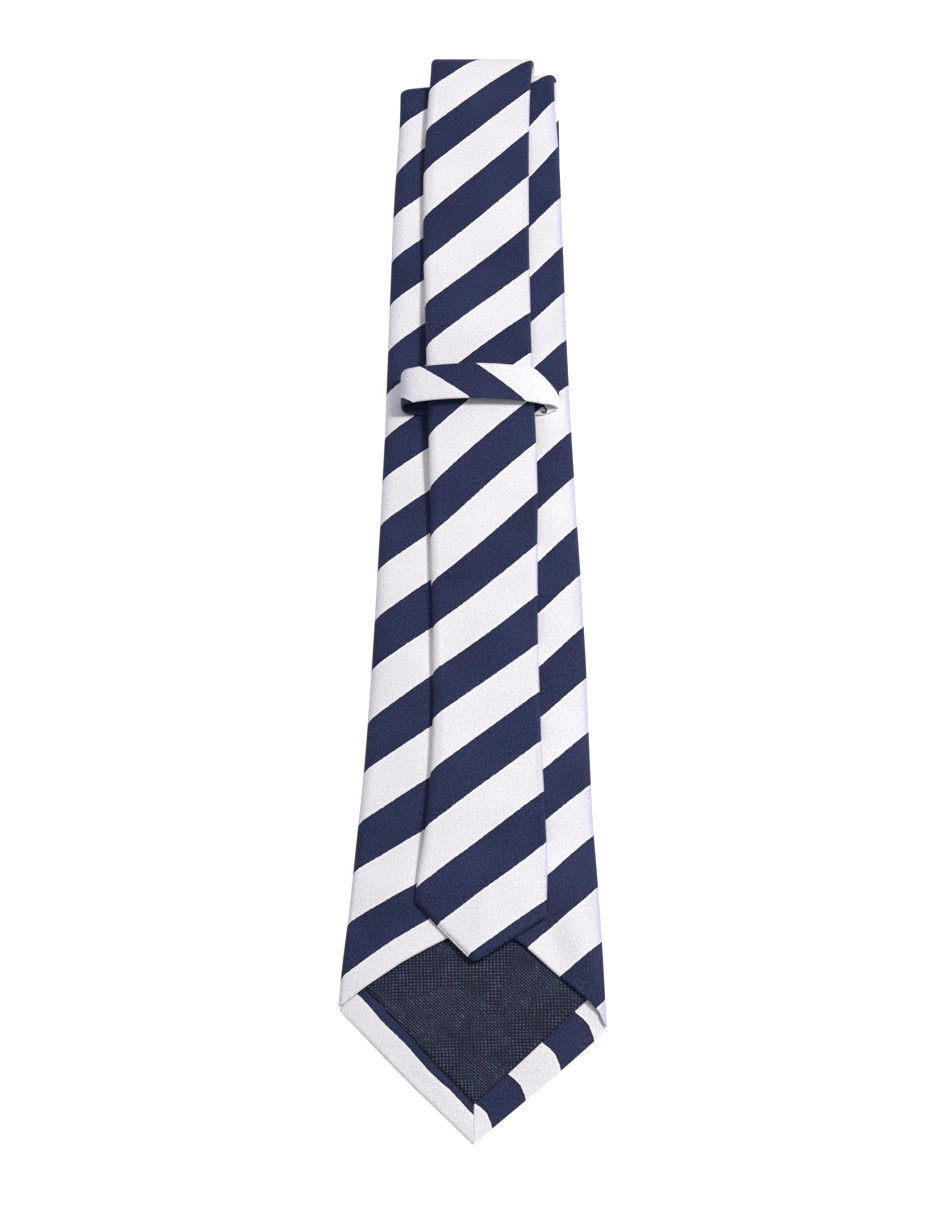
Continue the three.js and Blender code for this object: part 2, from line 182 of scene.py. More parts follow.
# The lining: its size along an edge, how its lower edges turn under, and its dip beneath the flaps.
LINING_SPAN, LINING_LIP_DROP, LINING_LIP_WIDTH = 50.0, 0.62, 0.6
LINING_DIP, LINING_DIPS_OVER = 0.5, (9.0, 2.0)
LINING_TURN = math.radians(1.0)

# The keeper loop, in mm: where its near edge is, and how both edges are drawn in at its right end.
LOOP_BACK_Y, LOOP_WIDTH, LOOP_WALL = 57.7, 14.0, 1.3
LOOP_DRAWN_IN, LOOP_DRAWN_X = 5.4, (20.0, 29.5)
LOOP_NEAR_DRAWN_IN, LOOP_NEAR_DRAWN_X = 2.0, (24.0, 30.0)
LOWER_BAND_NEARER, LOWER_BAND_LEVELS, TOP_BAND_LEVEL = 0.9, (5.0, 0.5), 4.0
LOOP_SECTION_POWERS = (0.28, 0.75)
# The line that the loop follows: across the tie and up.
LOOP_LINE = np.array([
    (26.5, 0.0), (14.0, 0.0), (-8.0, 0.0), (-19.5, 0.0), (-22.6, 1.0), (-23.5, 3.2), (-22.4, 5.3),
    (-19.4, 6.7), (-15.0, 7.8), (-8.0, 8.9), (-1.1, 9.4), (9.8, 8.9), (19.7, 7.0), (24.0, 5.6),
    (27.2, 3.6), (29.0, 1.8), (29.6, 0.8), (28.4, 0.1),
])
# On the band's top: where navy starts at the near edge, the stripes' lean and their period along it.
LOOP_STRIPE_X, LOOP_STRIPE_LEAN, LOOP_STRIPE_PERIOD, LOOP_GRAIN = -0.7, 1.235, 39.0, 0.7
LOOP_SEAM_SHIFT, LOOP_SEAM_ALONG = 0.15, (34.0, 14.0)  # the sewn lower end's stripes, in periods
# The thread's line at the loop's right end, seen from above.
TACK_LINE = np.array([
    (24.9, 61.6), (24.7, 60.4), (24.9, 59.4), (25.6, 58.5), (25.7, 57.5), (25.0, 57.2), (24.0, 57.8),
])
TACK_LEVEL, TACK_RADIUS, TACK_END_RADIUS, TACK_ROUNDS_OVER = 11.35, 0.31, 0.02, 0.5

# Painted shade on the light stripes at the rolled edges and at the loop's left end: how strong it is, and how
# far in it reaches.
BLADE_LEFT_SHADE, BLADE_RIGHT_SHADE = (0.3, 1.6), (1.0, 1.8)
TAIL_SHADE, LOOP_END_SHADE = (0.8, 0.9), (0.55, 5.0)

# Stripes on each face: periods for each mm across and along, and the count at the origin.
LEFT_STRIPES = (-0.02067, 0.02786, 3.471)
RIGHT_STRIPES = (-0.02732, 0.02490, 7.146)
TAIL_STRIPES = (-0.02377, 0.02656, 3.400)
STRIPES_TURN_BY, STRIPES_TURN_OVER = 0.26, 10.0  # the shift over the blade's fold, in periods
# The place along the stripes: mm for each mm across and along, and at the origin.
LEFT_GRAIN = (0.80, 0.60, 0.0)
RIGHT_GRAIN = (0.68, 0.73, -106.0)
# A gentle wave of each face's stripes: its height in periods, its crest's place and its length.
LEFT_WAVE = (0.038, 70.0, 155.0)
RIGHT_WAVE = (0.018, 105.0, 165.0)
NARROW_WAVE = (0.022, 3.0, 118.0)
# Shifts of the tail's stripes: towards its fold, less at its right edge, and at the fold's right end.
TAIL_LATE_SHIFT, TAIL_LATE_Y, TAIL_RIGHT_SHARE = 0.11, (145.0, 212.0), 0.45
TAIL_LEFT_X, TAIL_WIDTH = -15.0, 36.0
TAIL_FOLD_SHIFT, TAIL_FOLD_SHIFT_Y, TAIL_FOLD_SHIFT_X = 0.1, (207.0, 212.0), (16.0, 21.0)
TIP_JOINS = (0.8, 4.0)  # how far inside the tip the hidden side's stripes leave the seen side's
# How far down the cloth the stripes lie from their planes, in mm: a row for each place along the tie.
LEFT_DRIFT = np.array([
    # y, at the edge, beside the tail
    (-165.0, 0.5, -1.3),
    (-148.0, 0.0, -1.1),
    (-125.0, -0.7, 2.0),
    (-105.0, -0.4, 1.6),
    (-88.0, -0.3, 0.4),
    (-68.0, -0.2, 1.0),
    (-50.0, 0.4, -0.3),
    (-30.0, 0.4, 1.2),
    (-8.0, 0.3, 0.1),
    (30.0, 0.2, -0.9),
    (90.0, 1.4, 0.3),
    (120.0, 2.3, 1.9),
    (150.0, 3.0, 2.2),
    (170.0, 1.5, -1.9),
    (190.0, 0.0, 0.0),
])
RIGHT_DRIFT = np.array([
    (-170.0, 3.0, -2.4),
    (-150.0, 1.6, -1.6),
    (-130.0, 1.9, -0.2),
    (-110.0, 0.2, -0.6),
    (-90.0, 1.2, -1.2),
    (-70.0, 0.3, -1.3),
    (-30.0, -0.3, -0.4),
    (30.0, 0.1, 0.5),
    (90.0, 0.9, 1.0),
    (130.0, 1.2, 1.8),
    (150.0, 1.0, 0.5),
    (170.0, -2.0, -0.4),
    (190.0, -3.7, -1.0),
    (200.0, 0.0, 0.0),
])
TAIL_DRIFT = np.array([
    # y, at the left edge, at the right edge
    (-145.0, -0.8, 2.4),
    (-120.0, -2.1, 2.9),
    (-100.0, -1.0, 0.9),
    (-80.0, -1.2, 2.0),
    (-60.0, -0.6, 1.8),
    (-40.0, 0.3, 2.3),
    (-20.0, 1.8, 1.2),
    (0.0, 1.9, 0.3),
    (20.0, 2.2, -0.9),
    (40.0, 1.5, -0.3),
    (80.0, 1.9, -0.1),
    (100.0, 0.9, 0.1),
    (120.0, 1.1, -0.4),
    (140.0, 0.9, -0.9),
    (160.0, 1.0, -1.7),
    (180.0, 0.9, -2.5),
    (192.0, 1.5, -2.0),
    (200.0, 2.6, -0.4),
    (206.0, 3.6, 3.0),
    (214.0, 4.0, 4.5),
])

# The border between two stripes, in mm: its softness, how far it wanders and steps, and its rim.
BORDER_SOFT, BORDER_WANDERS, BORDER_STEPS, BORDER_RIM = 0.16, 0.18, 0.14, (0.2, 0.75)
RIM_LIGHTER, RIM_DARKER = 0.7, 0.45
STEP_THREADS = 2.4  # the border steps once in so many threads
# Noise of the silk: turns for each mm, and those of the grain along and across the satin's floats.
WANDER_SCALE, SLUB_SCALE, TINT_SCALE, FLOAT_SCALES = 0.35, 0.05, 0.7, (0.8, 1.4)
# How strongly grain, slubs and weave show in the silk's tone, its relief and its roughness.
GRAIN_TONE, SLUB_TONE, WEAVE_TONE = 3.4, 0.7, 0.06
WEAVE_RELIEF, GRAIN_RELIEF, NAVY_RELIEF, RELIEF_DEPTH = 0.5, 1.2, 0.25, 0.00004
GRAIN_ROUGHNESS, NAVY_ROUGHNESS = 0.12, 0.03
SHEEN_COLOUR = (0.86, 0.86, 1.0)
# Tones: factors on the light colour, factors and lifts of the dark one, and its two hues.
WHITE_TONES = (0.87, 1.13)
NAVY_TONES = ((0.45, 0.0), (1.35, 0.011))
NAVY_HUES = ((1.12, 0.97, 0.98), (0.88, 1.03, 1.03))
DOT_TONES, THREAD_TONES = (0.4, 1.8), (0.6, 1.4)

# The lining: noise in turns for each mm, how far it moves the dots in radians, and where dots run over
# into slanting lines, in clouds of another tone and into the ground's colour.
WANDER_NOISE, STRAY_NOISE = (0.1, 6.0), (0.8, 4.0)
WEFT_PITCH, WEFT_STRAY, WEFT_WANDER = 1.08, 1.2, 0.6
ZONE_SCALE, ZONE_BAND, ZONE_SHARE = 0.05, (0.4, 0.54), 0.75
CLOUD_SCALE, CLOUD_BAND, DOT_GRAIN_SCALE = 0.25, (0.4, 0.62), 1.9
DOT_BAND, DOT_FADES_SCALE, DOT_FADES = (0.47, 0.92), 0.13, (1.6, 0.05)
DOT_RELIEF_DEPTH, DOT_GRAIN_RELIEF = 0.00025, 0.2

# The stage, in metres: where the view aims, and the place, size and colour of each light.
VIEW_AIM = (-0.00045, -0.0189, 0.0096)
KEY_LIGHT = ((0.68, 0.16, 1.04), 0.28, (1.0, 0.99, 0.975))
FILL_LIGHT = ((-0.45, -0.3, 1.85), 2.2, (1.0, 0.99, 0.97))
SKY_COLOUR, SKY_STRENGTH = (0.9, 0.88, 1.0), 0.35
FLOOR_REACH, FLOOR_BELOW, FLOOR_GLOW = 3000.0, 0.05, 0.85  # the first two in mm


def smooth(edge0, edge1, x):
    """A soft step from 0 at edge0 to 1 at edge1: three times the square less twice the cube."""
    share = np.clip((x - edge0) / (edge1 - edge0), 0.0, 1.0)
    return share * share * (3.0 - 2.0 * share)


def mix(a, b, share):
    """The value that lies a share of the way from a to b."""
    return a + (b - a) * share


def sides(table, y, soften=7.0):
    """The left and right edges at y: the table's broken lines, averaged over a short stretch."""
    offsets = np.linspace(-soften, soften, AVERAGED)
    near = y[..., None] + offsets
    return tuple(np.interp(near, table[:, 0], table[:, k]).mean(-1) for k in (1, 2))


def from_lines(x, y, corners, rounding=0.0):
    """The distance inside a tip: from each point to the nearer of the tip's two edges. Rounding
    takes a smooth lesser of the two, so the tip's outline becomes a hyperbola."""
    distances = []
    for (ax, ay), (bx, by) in zip(corners[:-1], corners[1:]):
        length = math.hypot(bx - ax, by - ay)
        distances.append(((bx - ax) * (y - ay) - (by - ay) * (x - ax)) / length)
    first, second = distances
    return (first + second - np.sqrt((first - second) ** 2 + rounding**2)) / 2


def blade_rolls(y):
    """How far in the blade's seen side curves down at each edge: less at the tip than further up."""
    share = smooth(ROLLS_NARROW_TO, ROLLS_NARROW_FROM, y)
    return tuple(mix(a, b, share) for a, b in zip(BLADE_TIP_ROLLS, BLADE_ROLLS))


def corner_pull(x):
    """How far up the tip's line moves near each corner: the rise of a quarter ellipse."""
    pull = 0.0
    for corner, height, reach, sign in zip((BLADE_TIP[0], BLADE_TIP[2]), CORNER_ROUND, CORNER_REACH, (1, -1)):
        near = np.clip(1 - sign * (x - corner[0]) / reach, 0, 1)
        pull = pull + height * (1 - np.sqrt(1 - near**2))
    return pull


def blade_floor(x, y):
    """The blade's front face over the table: level over the layers below, sagging by a blend of a
    parabola and a cubic outside them, and sinking past the neck fold by a soft step."""
    carried = BLADE_BOTTOM * smooth(SINK_TO, SINK_FROM, y)
    left, right = sides(BLADE_SIDES, y)
    under_left, under_right = sides(UNDER_SIDES, y)
    support = (under_right - under_left) / 2
    overhang = np.maximum((right - left) / 2 - support, LAYER)
    past = np.abs(x - (under_left + under_right) / 2) - support
    share = np.clip(past / overhang, 0.0, 1.0)
    sag = mix(SAG_AT_NECK, SAG_AT_FOLD, smooth(NECK_FOLD_Y, BLADE_FOLD_Y, y))
    return carried * (1 - sag * share**2 * (SAG_EARLY - (SAG_EARLY - 1) * share))


def blade_thickness(x, y):
    """The blade's padding: thicker towards the tip, and pinched to a thin fold at both corners."""
    thick = mix(TIP_LAYER, LAYER, smooth(THICKENS_TO, THICKENS_FROM, y))
    for corner_x, corner_y in (BLADE_TIP[0], BLADE_TIP[2]):
        away = np.hypot(x - corner_x, y - corner_y)
        thick = mix(CORNER_LAYER, thick, smooth(0.0, CORNER_THINS_OVER, away))
    return thick


def tail_floor(x, y):
    """The tail's underside: on the blade, lifted by a squared cosine where it runs through the loop,
    most in its middle."""
    thick = mix(UNDER_TAIL_TIP, LAYER, smooth(THICKENS_TO, THICKENS_FROM, y))
    from_loop = np.clip((y - LIFT_Y) / LIFT_REACH, -1.0, 1.0)
    lift = LIFT_HEIGHT * np.cos(from_loop * math.pi / 2) ** 2
    lift = lift * (1 - LIFT_ARCH * ((x - SEAM_X) / LIFT_HALF_WIDTH) ** 2)
    rise = TAIL_OVER_FOLD * smooth(LIFT_Y + LIFT_REACH, TAIL_FOLD_Y, y)
    return BLADE_BOTTOM + thick + AIR + lift + rise


def drift(table, y, share):
    """How far the stripes are moved at y: from the table's second column to its third by the share."""
    first, second = sides(table, y)
    return mix(first, second, np.clip(share, 0.0, 1.0))


def plane(values, across, along):
    """A plane over the flat cloth, from its slopes across and along and its value at the origin."""
    return values[0] * across + values[1] * along + values[2]


def wave(y, height, crest, length):
    """A cosine along the tie, from its height, the place of its crest and its length."""
    return height * np.cos(2 * math.pi * (y - crest) / length)


def near_edge(inside, strength, width):
    """What is strongest at an edge: a bell curve of the distance inside it."""
    return strength * np.exp(-((inside / width) ** 2))


def ripple(x, y, inside, height, length, starts):
    """Soft unevenness: three crossing sine waves of one height and like lengths, which start softly
    inside the edge."""
    turn = 2 * math.pi / length
    height = height * smooth(0.0, starts, inside)
    return height / 3 * (np.sin(turn * (0.9 * x + 0.5 * y) + 0.7)
                         + np.sin(turn * (0.3 * x - 0.8 * y) + 2.1)
                         + np.sin(turn * (1.3 * y - 0.4 * x) + 4.0))


def columns(flap=14, roll=18, front=44):
    """The columns of an envelope, from the middle seam round the left edge, the front and the right
    edge back to the seam: which stretch each is in, and its share of that stretch."""
    stretches = []
    for index, count in enumerate((flap, roll, front, roll, flap)):
        share = np.linspace(0.0, 1.0, count + 1)
        stretches.append(np.stack([np.full(count, index), share[:-1]], 1))
    last = np.array([[4, 1.0]])
    return np.concatenate(stretches + [last])


def envelope(cols, left, right, thick, seams, rolls, front_seen=False):
    """Each column's place across the tie and its level in the padding, from 0 at the front. The
    flaps and the front are straight. A rolled edge is two quarter ellipses that meet where the
    section is widest: a wide one on the seen side and a narrow one on the hidden side."""
    kind, share = cols[:, 0], cols[:, 1]
    flap_rolls, front_rolls = (HIDDEN_ROLL, HIDDEN_ROLL), rolls
    widest = thick * (1 - WIDEST_LEVEL)
    if not front_seen:
        flap_rolls, front_rolls = front_rolls, flap_rolls
        widest = thick * WIDEST_LEVEL
    turn = share * math.pi
    bulge = 1 - np.sin(turn)
    left_roll = np.where(share < 0.5, flap_rolls[0], front_rolls[0])
    right_roll = np.where(share < 0.5, front_rolls[1], flap_rolls[1])
    x = np.select(
        [kind == 0, kind == 1, kind == 2, kind == 3],
        [mix(seams[0], left + flap_rolls[0], share), left + left_roll * bulge,
         mix(left + front_rolls[0], right - front_rolls[1], share), right - right_roll * bulge],
        mix(right - flap_rolls[1], seams[1], share))
    going_down = widest + np.where(share < 0.5, thick - widest, widest) * np.cos(turn)
    going_up = widest - np.where(share < 0.5, widest, thick - widest) * np.cos(turn)
    level = np.select([kind == 1, kind == 2, kind == 3], [going_down, 0.0 * x, going_up], thick + 0 * x)
    return x, level


def cloth_from(x, level, column, direction):
    """The place on the flat cloth: the distance walked along the section from one column, which
    keeps its own place."""
    walked = np.hypot(np.diff(x, axis=1), np.diff(level, axis=1)).cumsum(axis=1)
    walked = np.concatenate([0 * walked[:, :1], walked], axis=1)
    at = walked[:, [column]]
    return x[:, [column]] + direction * (walked - at)


def grid_piece(name, points, cloth, outside, wrap_rows=False, wrap_columns=False, shade=None):
    """A mesh of quads over a grid of points in mm. The UV map called cloth holds, in mm, the place
    across and along the stripes, and the one called edge how much painted shade darkens the light
    stripes at a rolled edge. The faces look towards the side that outside points to."""
    rows, cols = points.shape[:2]
    row_ends = np.arange(rows if wrap_rows else rows - 1)
    col_ends = np.arange(cols if wrap_columns else cols - 1)
    r, c = (a.ravel() for a in np.meshgrid(row_ends, col_ends, indexing="ij"))
    corner_rows = np.stack([r, r, r + 1, r + 1], 1)
    corner_cols = np.stack([c, c + 1, c + 1, c], 1)
    first, second, _, fourth = (points[corner_rows[:, k] % rows, corner_cols[:, k] % cols]
                                for k in range(4))
    facing = np.cross(second - first, fourth - first)
    aim = outside[r, c] if outside.ndim == 3 else outside
    if (facing * aim).sum() < 0:
        corner_rows, corner_cols = corner_rows[:, ::-1], corner_cols[:, ::-1]
    vertex = (corner_rows % rows) * cols + corner_cols % cols
    mesh = bpy.data.meshes.new(name)
    mesh.from_pydata((points.reshape(-1, 3) * MM).tolist(), [], vertex.tolist())
    uv = mesh.uv_layers.new(name="cloth")
    uv.data.foreach_set("uv", cloth[corner_rows, corner_cols].ravel().astype(np.float32))
    tinted = np.zeros(cloth.shape)
    if shade is not None:
        tinted[:shade.shape[0], :shade.shape[1], 0] = shade
    edge = mesh.uv_layers.new(name="edge")
    edge.data.foreach_set("uv", tinted[corner_rows, corner_cols].ravel().astype(np.float32))
    mesh.polygons.foreach_set("use_smooth", np.ones(len(vertex), bool))
    mesh.update()
    piece = bpy.data.objects.new(name, mesh)
    bpy.context.scene.collection.objects.link(piece)
    return piece


def add_wall(piece, thickness):
    """Gives a sheet its thickness, inwards from the shape that was worked out."""
    wall = piece.modifiers.new("wall", "SOLIDIFY")
    wall.thickness = thickness * MM
    wall.offset = -1.0


def silk_sheet(name, look, points, cloth, outside, shade=None):
    """A grid of points with the wall of one layer of silk."""
    piece = grid_piece(name, points, cloth, outside, shade=shade)
    add_wall(piece, look.silk_thickness / MM)
    return piece


def declare(piece, node, material):
    """Gives the piece its material and the body that it moves with, and hides the imported part that it
    stands for.
    """
    piece.data.materials.append(material)
    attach(piece, "root")
    if node:
        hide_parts(node)
    return piece


class Wire:
    """A node socket that takes part in arithmetic: an operator adds its Math node to the tree."""

    def __init__(self, board, socket):
        self.board, self.socket = board, socket

    def _math(self, operation, *values):
        """Adds a Math node for the operation, with the values in its sockets from the first on."""
        return self.board.node("ShaderNodeMath", {"operation": operation},
                               **{f"_{k}": v for k, v in enumerate(values)})

    def __add__(self, other):
        return self._math("ADD", self, other)

    __radd__ = __add__

    def __sub__(self, other):
        return self._math("SUBTRACT", self, other)

    def __rsub__(self, other):
        return self._math("SUBTRACT", other, self)

    def __mul__(self, other):
        return self._math("MULTIPLY", self, other)

    __rmul__ = __mul__

    def __truediv__(self, other):
        return self._math("DIVIDE", self, other)

    def __rtruediv__(self, other):
        return self._math("DIVIDE", other, self)

    def sine(self):
        """The sine of the value in radians."""
        return self._math("SINE", self)

    def floor(self):
        """The whole number at or under the value."""
        return self._math("FLOOR", self)

    def fraction(self):
        """What the value has over its whole number."""
        return self._math("FRACT", self)

    def absolute(self):
        """The value without its sign."""
        return self._math("ABSOLUTE", self)

    def lesser(self, other):
        """The smaller one of two values."""
        return self._math("MINIMUM", self, other)

    def band(self, low, high, out_low=0.0, out_high=1.0):
        """A soft step over the values from low to high."""
        settings = {"interpolation_type": "SMOOTHSTEP", "clamp": True}
        return self.board.node("ShaderNodeMapRange", settings, Value=self,
                               **{"From Min": low, "From Max": high,
                                  "To Min": out_low, "To Max": out_high})


class Board:
    """The node tree of one material, with a Principled shader at its end."""

    def __init__(self, name):
        self.material = bpy.data.materials.new(name)
        self.material.use_nodes = True
        self.tree = self.material.node_tree
        self.tree.nodes.clear()
        self.output = self.tree.nodes.new("ShaderNodeOutputMaterial")

    def node(self, kind, settings=None, output=0, **sockets):
        """Adds a node: its settings first, then the values or links of its sockets by name, or by
        number where the name is an underscore and a figure."""
        made = self.tree.nodes.new(kind)
        for key, value in (settings or {}).items():
            setattr(made, key, value)
        for key, value in sockets.items():
            socket = made.inputs[int(key[1:])] if key[0] == "_" else made.inputs[key]
            if isinstance(value, Wire):
                self.tree.links.new(value.socket, socket)
            else:
                socket.default_value = value
        return Wire(self, made.outputs[output])

    def cloth_map(self, name):
        """Adds a UV map and gives it with its two values."""
        uv = self.node("ShaderNodeUVMap", {"uv_map": name})
        first = self.node("ShaderNodeSeparateXYZ", _0=uv)
        return uv, first, Wire(self, first.socket.node.outputs[1])

    def noise(self, place, scale, **sockets):
        """Adds a noise of two octaves, or of as many as Detail says, over a place."""
        return self.node("ShaderNodeTexNoise", Vector=place, Scale=scale, **{"Detail": 2.0, **sockets})

    def mix_colour(self, share, first, second, blend="MIX"):
        """Adds a mix of two colours: the first one where the share is 0, the second where it is 1."""
        settings = {"data_type": "RGBA", "blend_type": blend, "clamp_factor": True}
        return self.node("ShaderNodeMix", settings, output=2, _0=share, _6=first, _7=second)

    def shader(self, **sockets):
        """Adds the Principled shader, joins it to the output and gives the finished material."""
        shader = self.node("ShaderNodeBsdfPrincipled", **sockets)
        self.tree.links.new(shader.socket, self.output.inputs["Surface"])
        return self.material


def rgba(colour, factor=1.0):
    """A colour times a factor, no lighter than white, as a node's socket takes it."""
    return (*(min(part * factor, 1.0) for part in colour), 1.0)


def striped_silk(name, look):
    """Satin with equal stripes of navy and white. The cloth map's first value runs across the
    stripes and its second along them, both in mm, so the stripes follow the folded cloth."""
    board = Board(name)
    uv, across, along = board.cloth_map("cloth")
    period, share = look.stripe_period / MM, look.navy_share
    thread = look.thread_pitch / MM
    wobble = board.noise(uv, WANDER_SCALE) - 0.5
    steps = (along / (STEP_THREADS * thread)).floor()
    uneven = board.node("ShaderNodeTexWhiteNoise", {"noise_dimensions": "1D"}, W=steps) - 0.5
    place = (across + wobble * BORDER_WANDERS + uneven * BORDER_STEPS) / period
    in_period = place.fraction()
    soft = BORDER_SOFT / period
    navy = in_period.band(0.0, soft) - in_period.band(share - soft / 2, share + soft / 2)
    # Beside each border the light stripes are lighter and the dark ones darker.
    to_start = ((place + 0.5).fraction() - 0.5).absolute()
    to_end = ((place + (0.5 - share)).fraction() - 0.5).absolute()
    rim = to_start.lesser(to_end).band(*(edge / period for edge in BORDER_RIM), 1.0, 0.0)
    # Warp and weft: fine ribs across each other, and the long floats of a satin.
    turn = 2 * math.pi / thread
    rib = (across * turn).sine()
    float_line = (along * (turn * 0.5) + across * (turn * 0.5)).sine()
    weave = rib * 0.5 + float_line * 0.5
    floats = board.node("ShaderNodeCombineXYZ", X=(across + along) * FLOAT_SCALES[0],
                        Y=(across - along) * FLOAT_SCALES[1])
    grain = board.noise(floats, 1.0, Detail=3.0, Roughness=0.65)
    slub = board.noise(uv, SLUB_SCALE)
    tint = board.noise(uv, TINT_SCALE)
    tone = (grain - 0.5) * GRAIN_TONE + (slub - 0.5) * SLUB_TONE + weave * WEAVE_TONE + 0.5
    light = board.mix_colour(tone + rim * RIM_LIGHTER, *(rgba(look.white, k) for k in WHITE_TONES))
    shades = [board.mix_colour(tint.band(0.35, 0.65),
                               *(rgba([(c * k + lift) * t for c, t in zip(look.navy, hue)])
                                 for hue in NAVY_HUES))
              for k, lift in NAVY_TONES]
    dark = board.mix_colour(tone - rim * RIM_DARKER, *shades)
    # Painted shade: where the edge map says so, the light stripes are multiplied by a lavender shade colour,
    # as on a rolled edge turned away from the light.
    _, edge, _ = board.cloth_map("edge")
    light = board.mix_colour(edge, light, rgba(look.painted_edge_shade), "MULTIPLY")
    colour = board.mix_colour(navy, light, dark)
    height = weave * WEAVE_RELIEF + grain * GRAIN_RELIEF + navy * NAVY_RELIEF
    bump = board.node("ShaderNodeBump", Strength=look.weave_strength, Distance=RELIEF_DEPTH, Height=height)
    rough = grain * GRAIN_ROUGHNESS + (look.silk_roughness - GRAIN_ROUGHNESS / 2) + navy * NAVY_ROUGHNESS
    return board.shader(**{"Base Color": colour, "Roughness": rough, "Normal": bump,
                           "Specular IOR Level": 0.08, "Sheen Weight": 0.03,
                           "Sheen Roughness": 0.35, "Sheen Tint": rgba(SHEEN_COLOUR)})


def dotted_lining(name, look):
    """Navy lining in a coarse weave: a lattice of pale dots with dark gaps between them, which runs
    over into slanting lines in places."""
    board = Board(name)
    uv, across, along = board.cloth_map("cloth")
    turn = 2 * math.pi / (look.dot_pitch / MM)
    wander, stray = ((board.noise(uv, scale) - 0.5) * reach for scale, reach in (WANDER_NOISE, STRAY_NOISE))
    warp = across * turn + wander + stray
    weft = along * (turn * WEFT_PITCH) + stray * WEFT_STRAY - wander * WEFT_WANDER
    lattice = (warp.sine() + weft.sine()) * 0.25 + 0.5
    twill = (warp + weft).sine() * 0.5 + 0.5
    zone = board.noise(uv, ZONE_SCALE, Detail=1.0).band(*ZONE_BAND) * ZONE_SHARE
    dots = lattice * (1.0 - zone) + twill * zone
    cloud = board.noise(uv, CLOUD_SCALE, Detail=3.0)
    grain = board.noise(uv, DOT_GRAIN_SCALE)
    thread = board.mix_colour((grain - 0.5) * 2.0 + 0.5, *(rgba(look.lining_dot, k) for k in DOT_TONES))
    warm = board.mix_colour(cloud.band(*CLOUD_BAND), thread, rgba(look.lining_cloud))
    gain, least = DOT_FADES
    shown = dots.band(*DOT_BAND) * (board.noise(uv, DOT_FADES_SCALE) * gain + least)
    colour = board.mix_colour(shown, rgba(look.lining_ground), warm)
    bump = board.node("ShaderNodeBump", Strength=0.8, Distance=DOT_RELIEF_DEPTH,
                      Height=dots + grain * DOT_GRAIN_RELIEF)
    return board.shader(**{"Base Color": colour, "Roughness": dots * -0.1 + 0.7, "Normal": bump,
                           "Specular IOR Level": 0.25})


def spun_thread(name, colour):
    """Dark sewing thread with a slight change of tone along it."""
    board = Board(name)
    place = board.node("ShaderNodeTexCoord", output=3)
    tone = board.noise(place, 900.0)
    shade = board.mix_colour(tone, *(rgba(colour, k) for k in THREAD_TONES))
    bump = board.node("ShaderNodeBump", Strength=0.5, Distance=0.0001, Height=tone)
    return board.shader(**{"Base Color": shade, "Roughness": tone * 0.2 + 0.5, "Normal": bump})


def pale_floor(name, colour):
    """A matt floor with a hardly visible unevenness. It glows a little, so shadows on it are faint."""
    board = Board(name)
    place = board.node("ShaderNodeTexCoord", output=3)
    tone = board.noise(place, 4.0)
    shade = board.mix_colour(tone, rgba(colour, 0.985), rgba(colour))
    return board.shader(**{"Base Color": shade, "Roughness": tone * 0.05 + 0.85,
                           "Specular IOR Level": 0.1, "Emission Color": rgba((1.0, 1.0, 1.0)),
                           "Emission Strength": FLOOR_GLOW})


_materials = {}


def material(kind, look):
    """Each material is made once, from the values in the panel."""
    if kind not in _materials:
        if kind == "silk":
            _materials[kind] = striped_silk("striped_silk", look)
        elif kind == "lining":
            _materials[kind] = dotted_lining("dotted_lining", look)
        else:
            _materials[kind] = spun_thread("dark_thread", look.thread_colour)
    return _materials[kind]


def shares_across(table, x, y):
    """A place across the tie as a share of the half width at y, from -1 to 1."""
    left, right = sides(table, y)
    return (x - (left + right) / 2) / ((right - left) / 2)


def start_of(shares, table, line):
    """Where a column at each share starts, along a line of places that is one edge of the cloth."""
    along = shares_across(table, line[:, 0], line[:, 1])
    order = np.argsort(along)
    return np.interp(shares, along[order], line[order, 1])


def run_rows(start, end, count):
    """Rows from where each column starts to one common end: close together at the start, for the
    folded edge, and even after it."""
    first = start[None, :] + EDGE_OFFSETS[:, None]
    rest = np.linspace(0.0, 1.0, count + 1)[1:, None]
    return np.concatenate([first, mix(first[-1:], end, rest)])


def fold(first, last, rows, y, upper, lower, towards, tilt=0.0, widens_by=1.0):
    """A half turn about a line across the tie: each level is a circle round the fold's middle. The
    places across and the levels go softly from the first section's to the last one's."""
    share = rows[:, None]
    x, level = (mix(a, b, smooth(0.0, widens_by, share)) for a, b in zip(first, last))
    turn = math.pi / 2 - math.pi * share
    reach = (upper - lower) / 2 + level
    points = np.stack([x, y + tilt * x + towards * reach * np.cos(turn),
                       (upper + lower) / 2 + reach * np.sin(turn)], -1)
    return points, x, level


def blade_stripes(cols, x, level, y):
    """The count of stripes on the blade, and the place along them in mm. On each flap both are planes
    over the flat cloth, with a gentle wave, and over the front they go from one plane to the other."""
    left = cloth_from(x, level, 0, -1)
    right = cloth_from(x, level, -1, -1)
    kind, share = cols[:, 0], cols[:, 1]
    to_right = np.select([kind < 2, kind == 2], [0 * share, smooth(0.0, 1.0, share)], 1.0)
    edges = zip((LEFT_DRIFT, RIGHT_DRIFT), sides(BLADE_SIDES, y), sides(TAIL_SIDES, y))
    left_drift, right_drift = (drift(table, y, (x - edge) / (tail_edge - edge))
                               for table, edge, tail_edge in edges)
    count = mix(plane(LEFT_STRIPES, left, y + left_drift) + wave(y, *LEFT_WAVE),
                plane(RIGHT_STRIPES, right, y + right_drift) + wave(y, *RIGHT_WAVE), to_right)
    count = count + STRIPES_TURN_BY * smooth(BLADE_FOLD_Y, BLADE_FOLD_Y + STRIPES_TURN_OVER, y)
    grain = mix(plane(LEFT_GRAIN, left, y), plane(RIGHT_GRAIN, right, y), to_right)
    return count, grain


